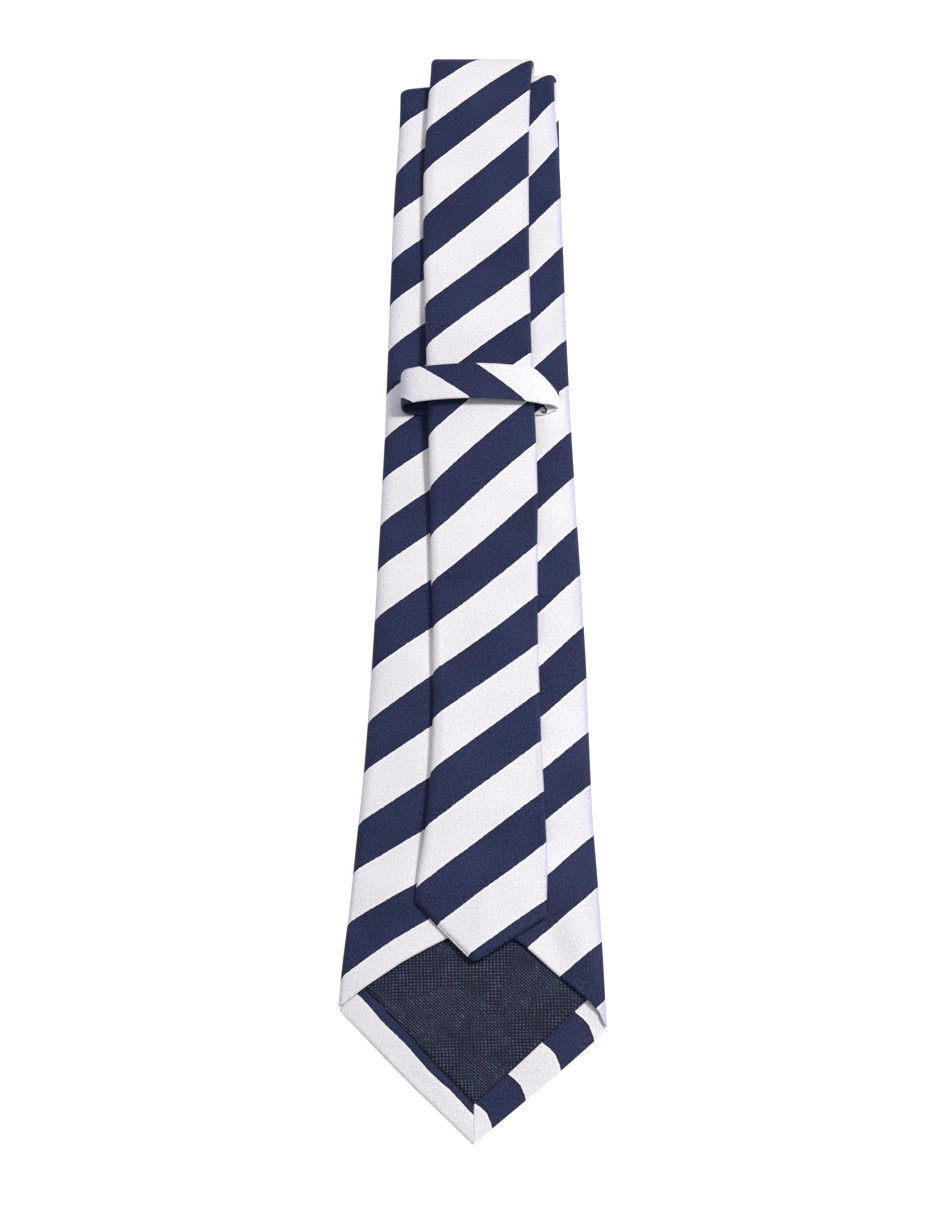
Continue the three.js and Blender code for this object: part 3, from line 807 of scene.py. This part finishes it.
def away_from_middle(points):
    """From the middle of each row of an envelope to its points."""
    return points - points.mean(axis=1, keepdims=True)


def blade_silk(look):
    """The blade's silk: one sheet from the left flap's inner edge round the front to the right
    flap's, from the tip to the joining seam on the layer below."""
    cols = columns()
    kind, share = cols[:, 0], cols[:, 1]
    flap = (kind == 0) | (kind == 4)
    seen = flap | (kind == 1) & (share < 0.5) | (kind == 3) & (share > 0.5)
    seams = [SEAM_X + past for past in FLAPS_PASS_SEAM]
    corner_y = np.full(len(cols), BLADE_TIP[0, 1])
    left, right = sides(BLADE_SIDES, corner_y)
    x, _ = envelope(cols, left, right, TIP_LAYER, seams, blade_rolls(corner_y))
    at = shares_across(BLADE_SIDES, x, corner_y)
    pulled = corner_pull(x)
    start = np.select([seen & (kind < 2), seen],
                      [start_of(at, BLADE_SIDES, LEFT_FLAP), start_of(at, BLADE_SIDES, RIGHT_FLAP)],
                      start_of(at, BLADE_SIDES, BLADE_TIP) + FRONT_STOPS) + pulled
    seen_rows, fold_rows, hidden_rows = BLADE_ROWS
    y = run_rows(start, BLADE_FOLD_Y, seen_rows)
    left, right = sides(BLADE_SIDES, y)
    middle = (left + right) / 2
    x, _ = envelope(cols, left, right, LAYER, seams, blade_rolls(y))
    thick = blade_thickness(x, y)
    x, level = envelope(cols, left, right, thick, seams, blade_rolls(y))
    # The flaps' edges drop by an exponential of the distance, and the left flap under the right one.
    lip = FLAP_LIP_DROP * np.exp(-(((y - start) * EDGE_SLANT / FLAP_LIP_WIDTH) ** 1.5))
    lip = lip * smooth(0.0, FLAP_LIP_STARTS_IN, np.minimum(x - left, right - x))
    under = LAP_DROP * smooth(LAP_WIDTH, 0.0, np.abs(x - SEAM_X)) * (kind == 0)
    level = np.where(flap, level - lip - under, level)
    soft = ripple(x, y, y - start, *BLADE_RIPPLE) * flap
    aside = (x - DENT_PLACE[0]) / DENT_SIZE[0] + (y - DENT_PLACE[1]) / DENT_SLANT
    dent = DENT_DEPTH * np.exp(-(aside**2) - ((y - DENT_PLACE[1]) / DENT_SIZE[1]) ** 2)
    soft = soft - dent * (kind == 4)
    tilt = BLADE_FOLD_TILT * smooth(TILT_STARTS_Y, BLADE_FOLD_Y, y)
    run = np.stack([x, y + tilt * (x - middle), blade_floor(x, y) + level + soft], -1)

    back = np.linspace(BLADE_FOLD_Y, BLADE_SEAM_Y, hidden_rows)[1:, None] + 0 * share
    left, right = sides(UNDER_SIDES, back)
    under_mid = (left + right) / 2
    ux, ulevel = envelope(cols, left, right, LAYER, (under_mid, under_mid), (HIDDEN_ROLL, HIDDEN_ROLL))
    skew = (BLADE_FOLD_TILT * smooth(TILT_STARTS_Y, BLADE_FOLD_Y, back)
            + smooth(BLADE_SEAM_Y + SEAM_RUN, BLADE_SEAM_Y, back))
    below = np.stack([ux, back + skew * (ux - under_mid), UNDER_TOP - ulevel], -1)

    turn = np.linspace(0.0, 1.0, fold_rows)[1:]
    bent, bx, blevel = fold((x[-1:], level[-1:]), (ux[:1], ulevel[:1]), turn,
                            BLADE_FOLD_Y - BLADE_FOLD_TILT * middle[-1:], BLADE_BOTTOM, UNDER_TOP,
                            1.0, BLADE_FOLD_TILT)

    half_turn = math.pi * (AIR / 2 + LAYER / 2)
    fold_line = BLADE_FOLD_Y + BLADE_FOLD_TILT * (x[-1:] - middle[-1:])
    path = np.concatenate([
        run[..., 1], fold_line + half_turn * turn[:, None],
        fold_line + half_turn + (BLADE_FOLD_Y - back)])
    points = np.concatenate([run, bent, below])
    count, grain = blade_stripes(cols, np.concatenate([x, bx, ux]),
                                 np.concatenate([level, blevel, ulevel]), path)
    cloth = np.stack([count * look.stripe_period / MM, grain], -1)
    left, right = sides(BLADE_SIDES, y)
    # Painted shade along both rolled edges of the seen flaps, stronger on the right.
    shade = (near_edge(x - left, *BLADE_LEFT_SHADE) + near_edge(right - x, *BLADE_RIGHT_SHADE)) * seen
    return silk_sheet("blade_silk", look, points, cloth, away_from_middle(points), shade)


def narrow_cloth(x, level, path, look, inside=TIP_JOINS[1]):
    """The cloth map of the narrow panels: stripes as one plane over the flat cloth, measured from the
    front's middle. At the tip's edge the hidden side goes on with the seen side's stripes."""
    flat = mix(x, cloth_from(x, level, (x.shape[1] - 1) // 2, 1), smooth(*TIP_JOINS, inside))
    count = plane(TAIL_STRIPES, flat, path) + wave(path, *NARROW_WAVE)
    left, right = sides(TAIL_SIDES, path)
    count = count + TAIL_STRIPES[1] * drift(TAIL_DRIFT, path, (x - left) / (right - left))
    late = smooth(*TAIL_LATE_Y, path) * mix(1.0, TAIL_RIGHT_SHARE, (x - TAIL_LEFT_X) / TAIL_WIDTH)
    at_fold = smooth(*TAIL_FOLD_SHIFT_Y, path) * smooth(*TAIL_FOLD_SHIFT_X, flat)
    count = count + TAIL_LATE_SHIFT * late + TAIL_FOLD_SHIFT * at_fold
    slope = math.atan2(-TAIL_STRIPES[0], TAIL_STRIPES[1])
    grain = math.cos(slope) * flat + math.sin(slope) * path
    return np.stack([count * look.stripe_period / MM, grain], -1)


def tail_silk(look):
    """The tail's silk: an envelope whose front looks up, from its tip through the loop and round the
    outer fold to the joining seam on the lowest layer. Its own seam is on its hidden back."""
    cols = columns(*TAIL_COLUMNS)
    kind, share = cols[:, 0], cols[:, 1]
    corner_y = np.full(len(cols), TAIL_TIP[0, 1])
    left, right = sides(TAIL_SIDES, corner_y)
    middle = (left + right) / 2
    x, _ = envelope(cols, left, right, LAYER, (middle, middle), TAIL_ROLLS, True)
    start = start_of(shares_across(TAIL_SIDES, x, corner_y), TAIL_SIDES, TAIL_TIP)
    # Each step moves the start by its distance from the rounded outline, until it lies on it.
    for _ in range(TIP_STEPS):
        start = start - from_lines(x, start, TAIL_TIP, TAIL_TIP_ROUND)
    seen_rows, fold_rows, hidden_rows = TAIL_ROWS
    y = run_rows(start, TAIL_FOLD_Y, seen_rows)
    left, right = sides(TAIL_SIDES, y)
    middle = (left + right) / 2
    x, _ = envelope(cols, left, right, LAYER, (middle, middle), TAIL_ROLLS, True)
    inside = from_lines(x, y, TAIL_TIP, TAIL_TIP_ROUND)
    thick = mix(TAIL_TIP_LAYER, LAYER, smooth(0.0, TAIL_THINS_OVER, inside))
    x, level = envelope(cols, left, right, thick, (middle, middle), TAIL_ROLLS, True)
    widest = thick * (1 - WIDEST_LEVEL)
    reach = np.where(level < widest, TAIL_TIP_ROLL, HIDDEN_ROLL)
    closed = np.sqrt(1 - np.clip(1 - inside / reach, 0, 1) ** 2)
    meets = mix(widest, TAIL_TIP_MEETS * thick, smooth(TAIL_TIP_MEETS_OVER, 0.0, inside))
    level = meets + (level - meets) * closed
    level = thick - level + ripple(x, y, inside, *TAIL_RIPPLE) * (kind == 2)
    run = np.stack([x, y, tail_floor(x, y) + level], -1)

    back = np.linspace(TAIL_FOLD_Y, TAIL_SEAM_Y + TAIL_SEAM_AIR, hidden_rows)[1:, None] + 0 * share
    to_neck = smooth(TAIL_FOLD_Y, TAIL_FOLD_Y - SEAM_RUN, back)
    left, right = (mix(at_fold, at_neck, to_neck) for at_fold, at_neck in zip(TAIL_FOLD_SIDES, NECK_SIDES))
    under_mid = (left + right) / 2
    ux, ulevel = envelope(cols, left, right, LAYER, (under_mid, under_mid), (HIDDEN_ROLL, HIDDEN_ROLL),
                          True)
    ulevel = LAYER - ulevel
    skew = smooth(TAIL_SEAM_Y + SEAM_RUN, TAIL_SEAM_Y, back)
    below = np.stack([ux, back + skew * (ux - under_mid), NECK_TOP - ulevel], -1)

    turn = np.linspace(0.0, 1.0, fold_rows)[1:]
    upper = float(tail_floor(SEAM_X, TAIL_FOLD_Y))
    bent, bx, blevel = fold((x[-1:], level[-1:]), (ux[:1], ulevel[:1]), turn, TAIL_FOLD_Y, upper,
                            NECK_TOP, 1.0, widens_by=0.5)

    half_turn = math.pi * ((upper - NECK_TOP) / 2 + LAYER)
    path = np.concatenate([
        y, TAIL_FOLD_Y + half_turn * turn[:, None] + 0 * share,
        TAIL_FOLD_Y + half_turn + (TAIL_FOLD_Y - back)])
    points = np.concatenate([run, bent, below])
    from_tip = np.concatenate([inside, np.full((len(path) - len(inside), len(cols)), inside.max())])
    cloth = narrow_cloth(np.concatenate([x, bx, ux]), np.concatenate([level, blevel, ulevel]), path,
                         look, from_tip)
    _, right = sides(TAIL_SIDES, y)
    # Painted shade along the tail's right rolled edge.
    shade = near_edge(right - x, *TAIL_SHADE)
    return silk_sheet("tail_silk", look, points, cloth, away_from_middle(points), shade)


def neck_silk(look):
    """The neck's silk: an envelope from the blade's joining seam round the hidden fold to the
    tail's joining seam."""
    cols = columns(*NECK_COLUMNS)
    share = cols[:, 1]
    left, right = (side + 0 * share[None, :] for side in NECK_SIDES)
    middle = (left + right) / 2
    x, level = envelope(cols, left, right, LAYER, (middle, middle), (HIDDEN_ROLL, HIDDEN_ROLL), True)
    level = LAYER - level
    seam_air = AIR * math.sqrt(2.0)
    upper_rows, fold_rows, lower_rows = NECK_ROWS
    first = np.linspace(BLADE_SEAM_Y - seam_air, NECK_FOLD_Y, upper_rows)[:, None] + 0 * share
    turn = np.linspace(0.0, 1.0, fold_rows)[1:-1]
    rest = np.linspace(NECK_FOLD_Y, TAIL_SEAM_Y, lower_rows)[:, None] + 0 * share
    skew_first = smooth(BLADE_SEAM_Y - SEAM_RUN, BLADE_SEAM_Y, first)
    skew_rest = smooth(TAIL_SEAM_Y - SEAM_RUN, TAIL_SEAM_Y, rest)
    upper = np.stack([x + 0 * first, first + skew_first * (x - middle),
                      UNDER_BOTTOM + level + 0 * first], -1)
    bent, _, _ = fold((x, level), (x, level), turn, NECK_FOLD_Y, UNDER_BOTTOM, NECK_TOP, -1.0)
    lower = np.stack([x + 0 * rest, rest + skew_rest * (x - middle), NECK_TOP - level + 0 * rest], -1)
    half_turn = math.pi * (AIR / 2 + LAYER)
    path = np.concatenate([-first, -NECK_FOLD_Y + half_turn * turn[:, None] + 0 * share,
                           -NECK_FOLD_Y + half_turn + (rest - NECK_FOLD_Y)])
    points = np.concatenate([upper, bent, lower])
    cloth = narrow_cloth(x + 0 * path, level + 0 * path, path, look)
    return silk_sheet("neck_silk", look, points, cloth, away_from_middle(points))


def hem(name, look, outer, inner, left_side):
    """One turned hem along an edge of the tip: a strip between its outer and its inner line, rolled
    at the outer one by a quarter circle and folded under at the inner one."""
    length = math.hypot(*(outer[1] - outer[0]))
    stops = HEM_STOPS / length
    first, last = (stops, 1.0) if left_side else (0.0, 1.0 - stops)
    along = np.linspace(first, last, HEM_ROWS)[:, None]
    rolled = HEM_ROLL_TO / HEM_WIDTH * (1 - np.cos(np.linspace(0, math.pi / 2, HEM_ROLL_COLUMNS)))
    flat = np.linspace(HEM_FLAT_FROM / HEM_WIDTH, 1.0, HEM_FLAT_COLUMNS)
    across = np.concatenate([rolled, flat])[None, :]
    edge = mix(outer[0], outer[1], along[..., None])
    end = mix(inner[0], inner[1], along[..., None])
    place = mix(edge, end, across[..., None])
    x, y = place[..., 0], place[..., 1]
    direction = (outer[1] - outer[0]) / length
    past = place - outer[0]
    walked = past @ direction
    reach = past[..., 1] * direction[0] - past[..., 0] * direction[1]
    corner = outer[0] if left_side else outer[1]
    rise = smooth(*HEM_RISES, np.hypot(x - corner[0], y - corner[1]))
    rounded = np.sqrt(1 - np.clip(1 - reach / HEM_ROLL, 0, 1) ** 2)
    lip = HEM_LIP_DROP * smooth(HEM_LIP_FROM, 1.0, across)
    level = HEM_EDGE * rise * mix(HEM_EDGE_SHARE, 1.0, rounded)
    level = level + (HEM_LEVEL - HEM_EDGE) * smooth(0.0, HEM_SETTLES_OVER, reach) - lip
    points = np.stack([x, y + corner_pull(x) * smooth(CORNER_FADES_OVER, 0.0, reach),
                       blade_floor(x, y) + level + ripple(x, y, reach, *HEM_RIPPLE)], -1)
    period = look.stripe_period / MM
    if left_side:
        height, turns = LEFT_HEM_WAVE
        border = mix(*LEFT_HEM_BORDER, along) + height * np.sin(along * turns)
        cloth = ((look.navy_share - 1) * period + border - reach, walked)
    else:
        height, width = RIGHT_HEM_BOW
        bow = RIGHT_HEM_SLANT * reach + height * np.sin(math.pi * np.clip(reach / width, 0, 1))
        cloth = ((walked - RIGHT_HEM_START - bow) / RIGHT_HEM_PERIOD * period, reach)
    return silk_sheet(name, look, points, np.stack(cloth, -1), UPWARDS)


def tipping_cloth(look):
    """The lining in the opening: a four-cornered patch between the flaps and the hems, its lower
    edges turned under."""
    across = np.linspace(0.0, 1.0, LINING_ROWS)[None, :]
    along = np.linspace(0.0, 1.0, LINING_ROWS)[:, None]
    top, left, bottom, right = TIPPING_CORNERS
    place = (top * ((1 - across) * (1 - along))[..., None] + left * ((1 - across) * along)[..., None]
             + bottom * (across * along)[..., None] + right * (across * (1 - along))[..., None])
    x, y = place[..., 0], place[..., 1]
    lower = np.minimum(1 - across, 1 - along) * LINING_SPAN
    lip = near_edge(lower, LINING_LIP_DROP, LINING_LIP_WIDTH)
    dip = LINING_DIP * smooth(*LINING_DIPS_OVER, np.minimum(across, along) * LINING_SPAN)
    level = TIPPING_LEVEL - lip - dip + ripple(x, y, lower, *LINING_RIPPLE)
    points = np.stack([x, y, blade_floor(x, y) + level], -1)
    cosine, sine = math.cos(LINING_TURN), math.sin(LINING_TURN)
    cloth = np.stack([x * cosine + y * sine, y * cosine - x * sine], -1)
    piece = grid_piece("tipping_cloth", points, cloth, UPWARDS)
    add_wall(piece, LINING_WALL)
    return piece


def closed_curve(points, count):
    """A closed curve through the points: cubic pieces whose slopes join each point's neighbours,
    with knots at the square root of the distance, sampled at even steps of length."""
    looped = np.concatenate([points[-1:], points, points[:2]])
    gaps = np.linalg.norm(np.diff(looped, axis=0), axis=1) ** 0.5
    knots = np.concatenate([[0.0], np.cumsum(gaps)])
    traced = []
    for i in range(1, len(points) + 1):
        p0, p1, p2, p3 = looped[i - 1:i + 3]
        t0, t1, t2, t3 = knots[i - 1:i + 3]
        t = np.linspace(t1, t2, CURVE_STEPS, endpoint=False)[:, None]
        a1 = p0 + (p1 - p0) * (t - t0) / (t1 - t0)
        a2 = p1 + (p2 - p1) * (t - t1) / (t2 - t1)
        a3 = p2 + (p3 - p2) * (t - t2) / (t3 - t2)
        b1 = a1 + (a2 - a1) * (t - t0) / (t2 - t0)
        b2 = a2 + (a3 - a2) * (t - t1) / (t3 - t1)
        traced.append(b1 + (b2 - b1) * (t - t1) / (t2 - t1))
    line = np.concatenate(traced)
    line = np.concatenate([line, line[:1]])
    length = np.concatenate([[0.0], np.cumsum(np.linalg.norm(np.diff(line, axis=0), axis=1))])
    even = np.linspace(0.0, length[-1], count, endpoint=False)
    return np.stack([np.interp(even, length, line[:, k]) for k in (0, 1)], 1), even, length[-1]


def loop_silk(look):
    """The keeper loop: a flat tube of silk, a rounded band's section, carried round a closed line. At
    its sewn right end its far edge is drawn in. Its stripes run down to the right on top."""
    base = BLADE_BOTTOM + LAYER + AIR + LOOP_WALL / 2
    line, even, length = closed_curve(LOOP_LINE + (0.0, base), LOOP_RINGS)
    step = np.roll(line, -1, axis=0) - np.roll(line, 1, axis=0)
    step /= np.linalg.norm(step, axis=1, keepdims=True)
    out = np.stack([-step[:, 1], step[:, 0]], 1)
    angle = np.linspace(0.0, 2 * math.pi, LOOP_RING_POINTS, endpoint=False)
    # Powers of the circle's sine and cosine under 1 flatten it to a band with round edges.
    wide_power, deep_power = LOOP_SECTION_POWERS
    wide = np.sign(np.cos(angle)) * np.abs(np.cos(angle)) ** wide_power
    deep = np.sign(np.sin(angle)) * np.abs(np.sin(angle)) ** deep_power * LOOP_WALL / 2
    x = line[:, :1] + out[:, :1] * deep
    z = line[:, 1:] + out[:, 1:] * deep
    far_drawn = LOOP_DRAWN_IN * smooth(*LOOP_DRAWN_X, line[:, :1])
    near_drawn = LOOP_NEAR_DRAWN_IN * smooth(*LOOP_NEAR_DRAWN_X, line[:, :1])
    near_drawn = near_drawn - LOWER_BAND_NEARER * smooth(*LOWER_BAND_LEVELS, line[:, 1:] - base)
    across_band = near_drawn + (wide + 1) / 2 * (LOOP_WIDTH - far_drawn - near_drawn)
    y = LOOP_BACK_Y + across_band
    points = np.stack([x, y, np.maximum(z, base - LOOP_WALL / 2)], -1)
    on_top = line[:, 1] > base + TOP_BAND_LEVEL
    top_zero = np.interp(0.0, line[on_top, 0], even[on_top])
    along = np.concatenate([even, [length]])
    around = np.concatenate([across_band, across_band[:1]])
    around = np.concatenate([around, around[:, :1]], axis=1)
    count = (along[:, None] - top_zero + LOOP_STRIPE_LEAN * around - LOOP_STRIPE_X) / LOOP_STRIPE_PERIOD
    count = count - LOOP_SEAM_SHIFT * smooth(*LOOP_SEAM_ALONG, along[:, None])
    grain = LOOP_GRAIN * (along[:, None] - around)
    cloth = np.stack([count * look.stripe_period / MM, grain], -1)
    outside = np.stack([out[:, :1] * deep, wide + 0 * x, out[:, 1:] * deep], -1)
    # Painted shade on the loop's rounded left end, fading out over its reach.
    strength, reach = LOOP_END_SHADE
    shade = strength * smooth(reach, 0.0, line[:, :1] - LOOP_LINE[:, 0].min()) + 0 * wide
    return grid_piece("loop_silk", points, cloth, outside, wrap_rows=True, wrap_columns=True, shade=shade)


def thread_tube(name, line, radius):
    """A round thread: a ring of points carried along a line, with its ends drawn in and closed."""
    steps = np.gradient(line, axis=0)
    steps /= np.linalg.norm(steps, axis=1, keepdims=True)
    side = np.cross(steps, (0.0, 0.0, 1.0))
    side /= np.linalg.norm(side, axis=1, keepdims=True)
    up = np.cross(side, steps)
    turn = np.linspace(0.0, 2 * math.pi, TACK_RING_POINTS, endpoint=False)
    girth = np.full(len(line), radius)
    girth[[0, -1]] = TACK_END_RADIUS
    ring = side[:, None] * np.cos(turn)[:, None] + up[:, None] * np.sin(turn)[:, None]
    points = line[:, None] + ring * girth[:, None, None]
    cloth = np.zeros((len(line), TACK_RING_POINTS + 1, 2))
    piece = grid_piece(name, points, cloth, ring, wrap_columns=True)
    tube = bmesh.new()
    tube.from_mesh(piece.data)
    bmesh.ops.holes_fill(tube, edges=tube.edges, sides=0)
    tube.to_mesh(piece.data)
    tube.free()
    return piece


def bar_tack():
    """The hooked thread that holds the loop's lower band near its right end: its line is rounded by
    averaging each place over a short stretch."""
    share = np.linspace(0.0, len(TACK_LINE) - 1.0, TACK_RINGS)
    near = share[:, None] + np.linspace(-TACK_ROUNDS_OVER, TACK_ROUNDS_OVER, AVERAGED)
    x, y = (np.interp(near, np.arange(len(TACK_LINE)), TACK_LINE[:, k]).mean(1) for k in (0, 1))
    return thread_tube("loop_tack", np.stack([x, y, TACK_LEVEL + 0 * x], 1), TACK_RADIUS)


class NecktieLook(bpy.types.PropertyGroup):
    """Sizes and colours of the silk, the lining and the thread."""

    stripe_period: FloatProperty(
        name="Stripe period", description="From one navy stripe to the next, across them",
        default=0.028, unit="LENGTH")
    navy_share: FloatProperty(
        name="Navy share", description="Part of each period that is navy",
        default=0.495, min=0.0, max=1.0, subtype="FACTOR")
    thread_pitch: FloatProperty(
        name="Thread pitch", description="From one rib of the weave to the next",
        default=0.00042, unit="LENGTH")
    silk_thickness: FloatProperty(
        name="Silk thickness", description="Thickness of one layer of silk",
        default=0.00035, unit="LENGTH")
    weave_strength: FloatProperty(
        name="Weave relief", description="Strength of the weave's bumps", default=0.5, subtype="FACTOR")
    silk_roughness: FloatProperty(
        name="Silk roughness", description="Roughness of the satin", default=0.52, subtype="FACTOR")
    dot_pitch: FloatProperty(
        name="Dot pitch", description="From one dot of the lining to the next",
        default=0.00112, unit="LENGTH")
    white: FloatVectorProperty(
        name="White", description="Colour of the light stripes", subtype="COLOR",
        default=(0.875, 0.868, 0.878))
    navy: FloatVectorProperty(
        name="Navy", description="Colour of the dark stripes", subtype="COLOR",
        default=(0.0245, 0.0328, 0.092))
    # Painted shade: the lavender colour that multiplies the light stripes at the rolled edges and at the
    # loop's left end.
    painted_edge_shade: FloatVectorProperty(
        name="Edge tint", description="Colour that a rolled edge gives the light stripes",
        subtype="COLOR", default=(0.64, 0.63, 0.84))
    lining_ground: FloatVectorProperty(
        name="Lining ground", description="Colour between the lining's dots", subtype="COLOR",
        default=(0.004, 0.006, 0.022))
    lining_dot: FloatVectorProperty(
        name="Lining dots", description="Colour of the lining's dots", subtype="COLOR",
        default=(0.082, 0.114, 0.184))
    lining_cloud: FloatVectorProperty(
        name="Lining clouds", description="Colour of the dots where their tone changes",
        subtype="COLOR", default=(0.078, 0.084, 0.160))
    thread_colour: FloatVectorProperty(
        name="Thread", description="Colour of the sewing thread", subtype="COLOR",
        default=(0.012, 0.012, 0.02))


class StageLook(bpy.types.PropertyGroup):
    """The camera's place and the light."""

    height_angle: FloatProperty(
        name="Camera angle", description="Angle of the view above the floor",
        default=math.radians(59.8), subtype="ANGLE")
    distance: FloatProperty(
        name="Camera distance", description="From the camera to the tie", default=1.494, unit="LENGTH")
    lens: FloatProperty(name="Lens", description="Focal length for a sensor of 36 mm", default=132.65)
    floor_colour: FloatVectorProperty(
        name="Floor", description="Colour of the floor", subtype="COLOR", default=(0.4, 0.4, 0.404))
    key_power: FloatProperty(
        name="Key light", description="Power of the light from the right", default=10.7, unit="POWER")
    fill_power: FloatProperty(
        name="Fill light", description="Power of the broad light from above", default=5.4, unit="POWER")


class NECKTIE_OT_stage(bpy.types.Operator):
    """Adds the camera, the floor and the lights"""

    bl_idname = "necktie.stage"
    bl_label = "Stage"
    bl_options = {"REGISTER", "UNDO"}

    def execute(self, context):
        scene, stage = context.scene, context.scene.necktie_stage
        camera = bpy.data.cameras.new("camera")
        camera.lens, camera.sensor_fit, camera.sensor_height = stage.lens, "VERTICAL", 36.0
        camera.clip_start, camera.clip_end = 0.05, 20.0
        view = bpy.data.objects.new("camera", camera)
        from_top = math.pi / 2 - stage.height_angle
        back = np.array([0.0, -math.sin(from_top), math.cos(from_top)])
        place = np.array(VIEW_AIM) + stage.distance * back
        view.location, view.rotation_euler = place, (from_top, 0.0, 0.0)
        scene.collection.objects.link(view)
        scene.camera = view

        across = np.linspace(-FLOOR_REACH, FLOOR_REACH, 3)
        x, y = np.meshgrid(across, across)
        points = np.stack([x, y, 0 * x - FLOOR_BELOW], -1)
        floor = grid_piece("floor", points, points[..., :2], UPWARDS)
        floor.data.materials.append(pale_floor("pale_floor", stage.floor_colour))

        for name, power, (spot, size, colour) in (
            ("key", stage.key_power, KEY_LIGHT),
            ("fill", stage.fill_power, FILL_LIGHT),
        ):
            light = bpy.data.lights.new(name, "AREA")
            light.shape, light.size, light.energy, light.color = "DISK", size, power, colour
            lamp = bpy.data.objects.new(name, light)
            flat = math.hypot(spot[0], spot[1])
            lamp.location = spot
            lamp.rotation_euler = (0.0, math.atan2(flat, spot[2]), math.atan2(spot[1], spot[0]))
            scene.collection.objects.link(lamp)

        world = bpy.data.worlds.new("studio")
        world.use_nodes = True
        sky = world.node_tree.nodes["Background"]
        sky.inputs["Color"].default_value = rgba(SKY_COLOUR)
        sky.inputs["Strength"].default_value = SKY_STRENGTH
        scene.world = world
        scene.view_settings.view_transform = "Standard"
        return {"FINISHED"}


class NECKTIE_OT_blade(bpy.types.Operator):
    """Makes the wide blade's silk with its two hems"""

    bl_idname = "necktie.blade"
    bl_label = "Wide blade"
    bl_options = {"REGISTER", "UNDO"}

    def execute(self, context):
        look = context.scene.necktie_look
        silk = material("silk", look)
        blade = declare(blade_silk(look), "blade_panel", silk)
        left, tip, right = BLADE_TIP
        _, left_in, tip_in, right_in = TIPPING_CORNERS
        left_in, tip_in, right_in = (at + HEM_UNDER_LINING * np.array(way) for at, way in
                                     ((left_in, (1, 0)), (tip_in, (0, 1)), (right_in, (-1, 0))))
        for name, outer, inner, left_side in (
            ("left_hem", (left, tip), (left_in, tip_in), True),
            ("right_hem", (tip, right), (tip_in, right_in), False),
        ):
            strip = hem(name, look, np.array(outer), np.array(inner), left_side)
            declare(strip, None, silk)
        return {"FINISHED"}


class NECKTIE_OT_narrow(bpy.types.Operator):
    """Makes the silk of the neck and of the tail"""

    bl_idname = "necktie.narrow"
    bl_label = "Neck and tail"
    bl_options = {"REGISTER", "UNDO"}

    def execute(self, context):
        look = context.scene.necktie_look
        silk = material("silk", look)
        neck = declare(neck_silk(look), "neck_panel", silk)
        tail = declare(tail_silk(look), "tail_panel", silk)
        return {"FINISHED"}


class NECKTIE_OT_lining(bpy.types.Operator):
    """Makes the textured lining in the opening"""

    bl_idname = "necktie.lining"
    bl_label = "Lining"
    bl_options = {"REGISTER", "UNDO"}

    def execute(self, context):
        look = context.scene.necktie_look
        cloth = declare(tipping_cloth(look), "blade_tipping", material("lining", look))
        return {"FINISHED"}


class NECKTIE_OT_loop(bpy.types.Operator):
    """Makes the keeper loop and the tack that holds it"""

    bl_idname = "necktie.loop"
    bl_label = "Keeper loop"
    bl_options = {"REGISTER", "UNDO"}

    def execute(self, context):
        look = context.scene.necktie_look
        loop = declare(loop_silk(look), "keeper_loop", material("silk", look))
        declare(bar_tack(), None, material("thread", look))
        return {"FINISHED"}


class NECKTIE_PT_panel(bpy.types.Panel):
    """Lists the sizes, the colours and the pieces"""

    bl_label = "Necktie"
    bl_idname = "NECKTIE_PT_panel"
    bl_space_type = "VIEW_3D"
    bl_region_type = "UI"
    bl_category = "Necktie"

    def draw(self, context):
        for group in (context.scene.necktie_look, context.scene.necktie_stage):
            for key in group.__annotations__:
                self.layout.prop(group, key)
        for operator in OPERATORS:
            self.layout.operator(operator.bl_idname)


OPERATORS = (NECKTIE_OT_stage, NECKTIE_OT_blade, NECKTIE_OT_narrow, NECKTIE_OT_lining, NECKTIE_OT_loop)
CLASSES = (NecktieLook, StageLook, *OPERATORS, NECKTIE_PT_panel)


def register():
    """Registers the classes and gives the scene the two groups of values."""
    for cls in CLASSES:
        bpy.utils.register_class(cls)
    bpy.types.Scene.necktie_look = PointerProperty(type=NecktieLook)
    bpy.types.Scene.necktie_stage = PointerProperty(type=StageLook)


def unregister():
    """Takes back what register adds."""
    del bpy.types.Scene.necktie_stage
    del bpy.types.Scene.necktie_look
    for cls in reversed(CLASSES):
        bpy.utils.unregister_class(cls)


def main():
    """Makes the stage and every piece."""
    register()
    bpy.ops.necktie.stage()
    bpy.ops.necktie.blade()
    bpy.ops.necktie.narrow()
    bpy.ops.necktie.lining()
    bpy.ops.necktie.loop()


if __name__ == "__main__":
    main()
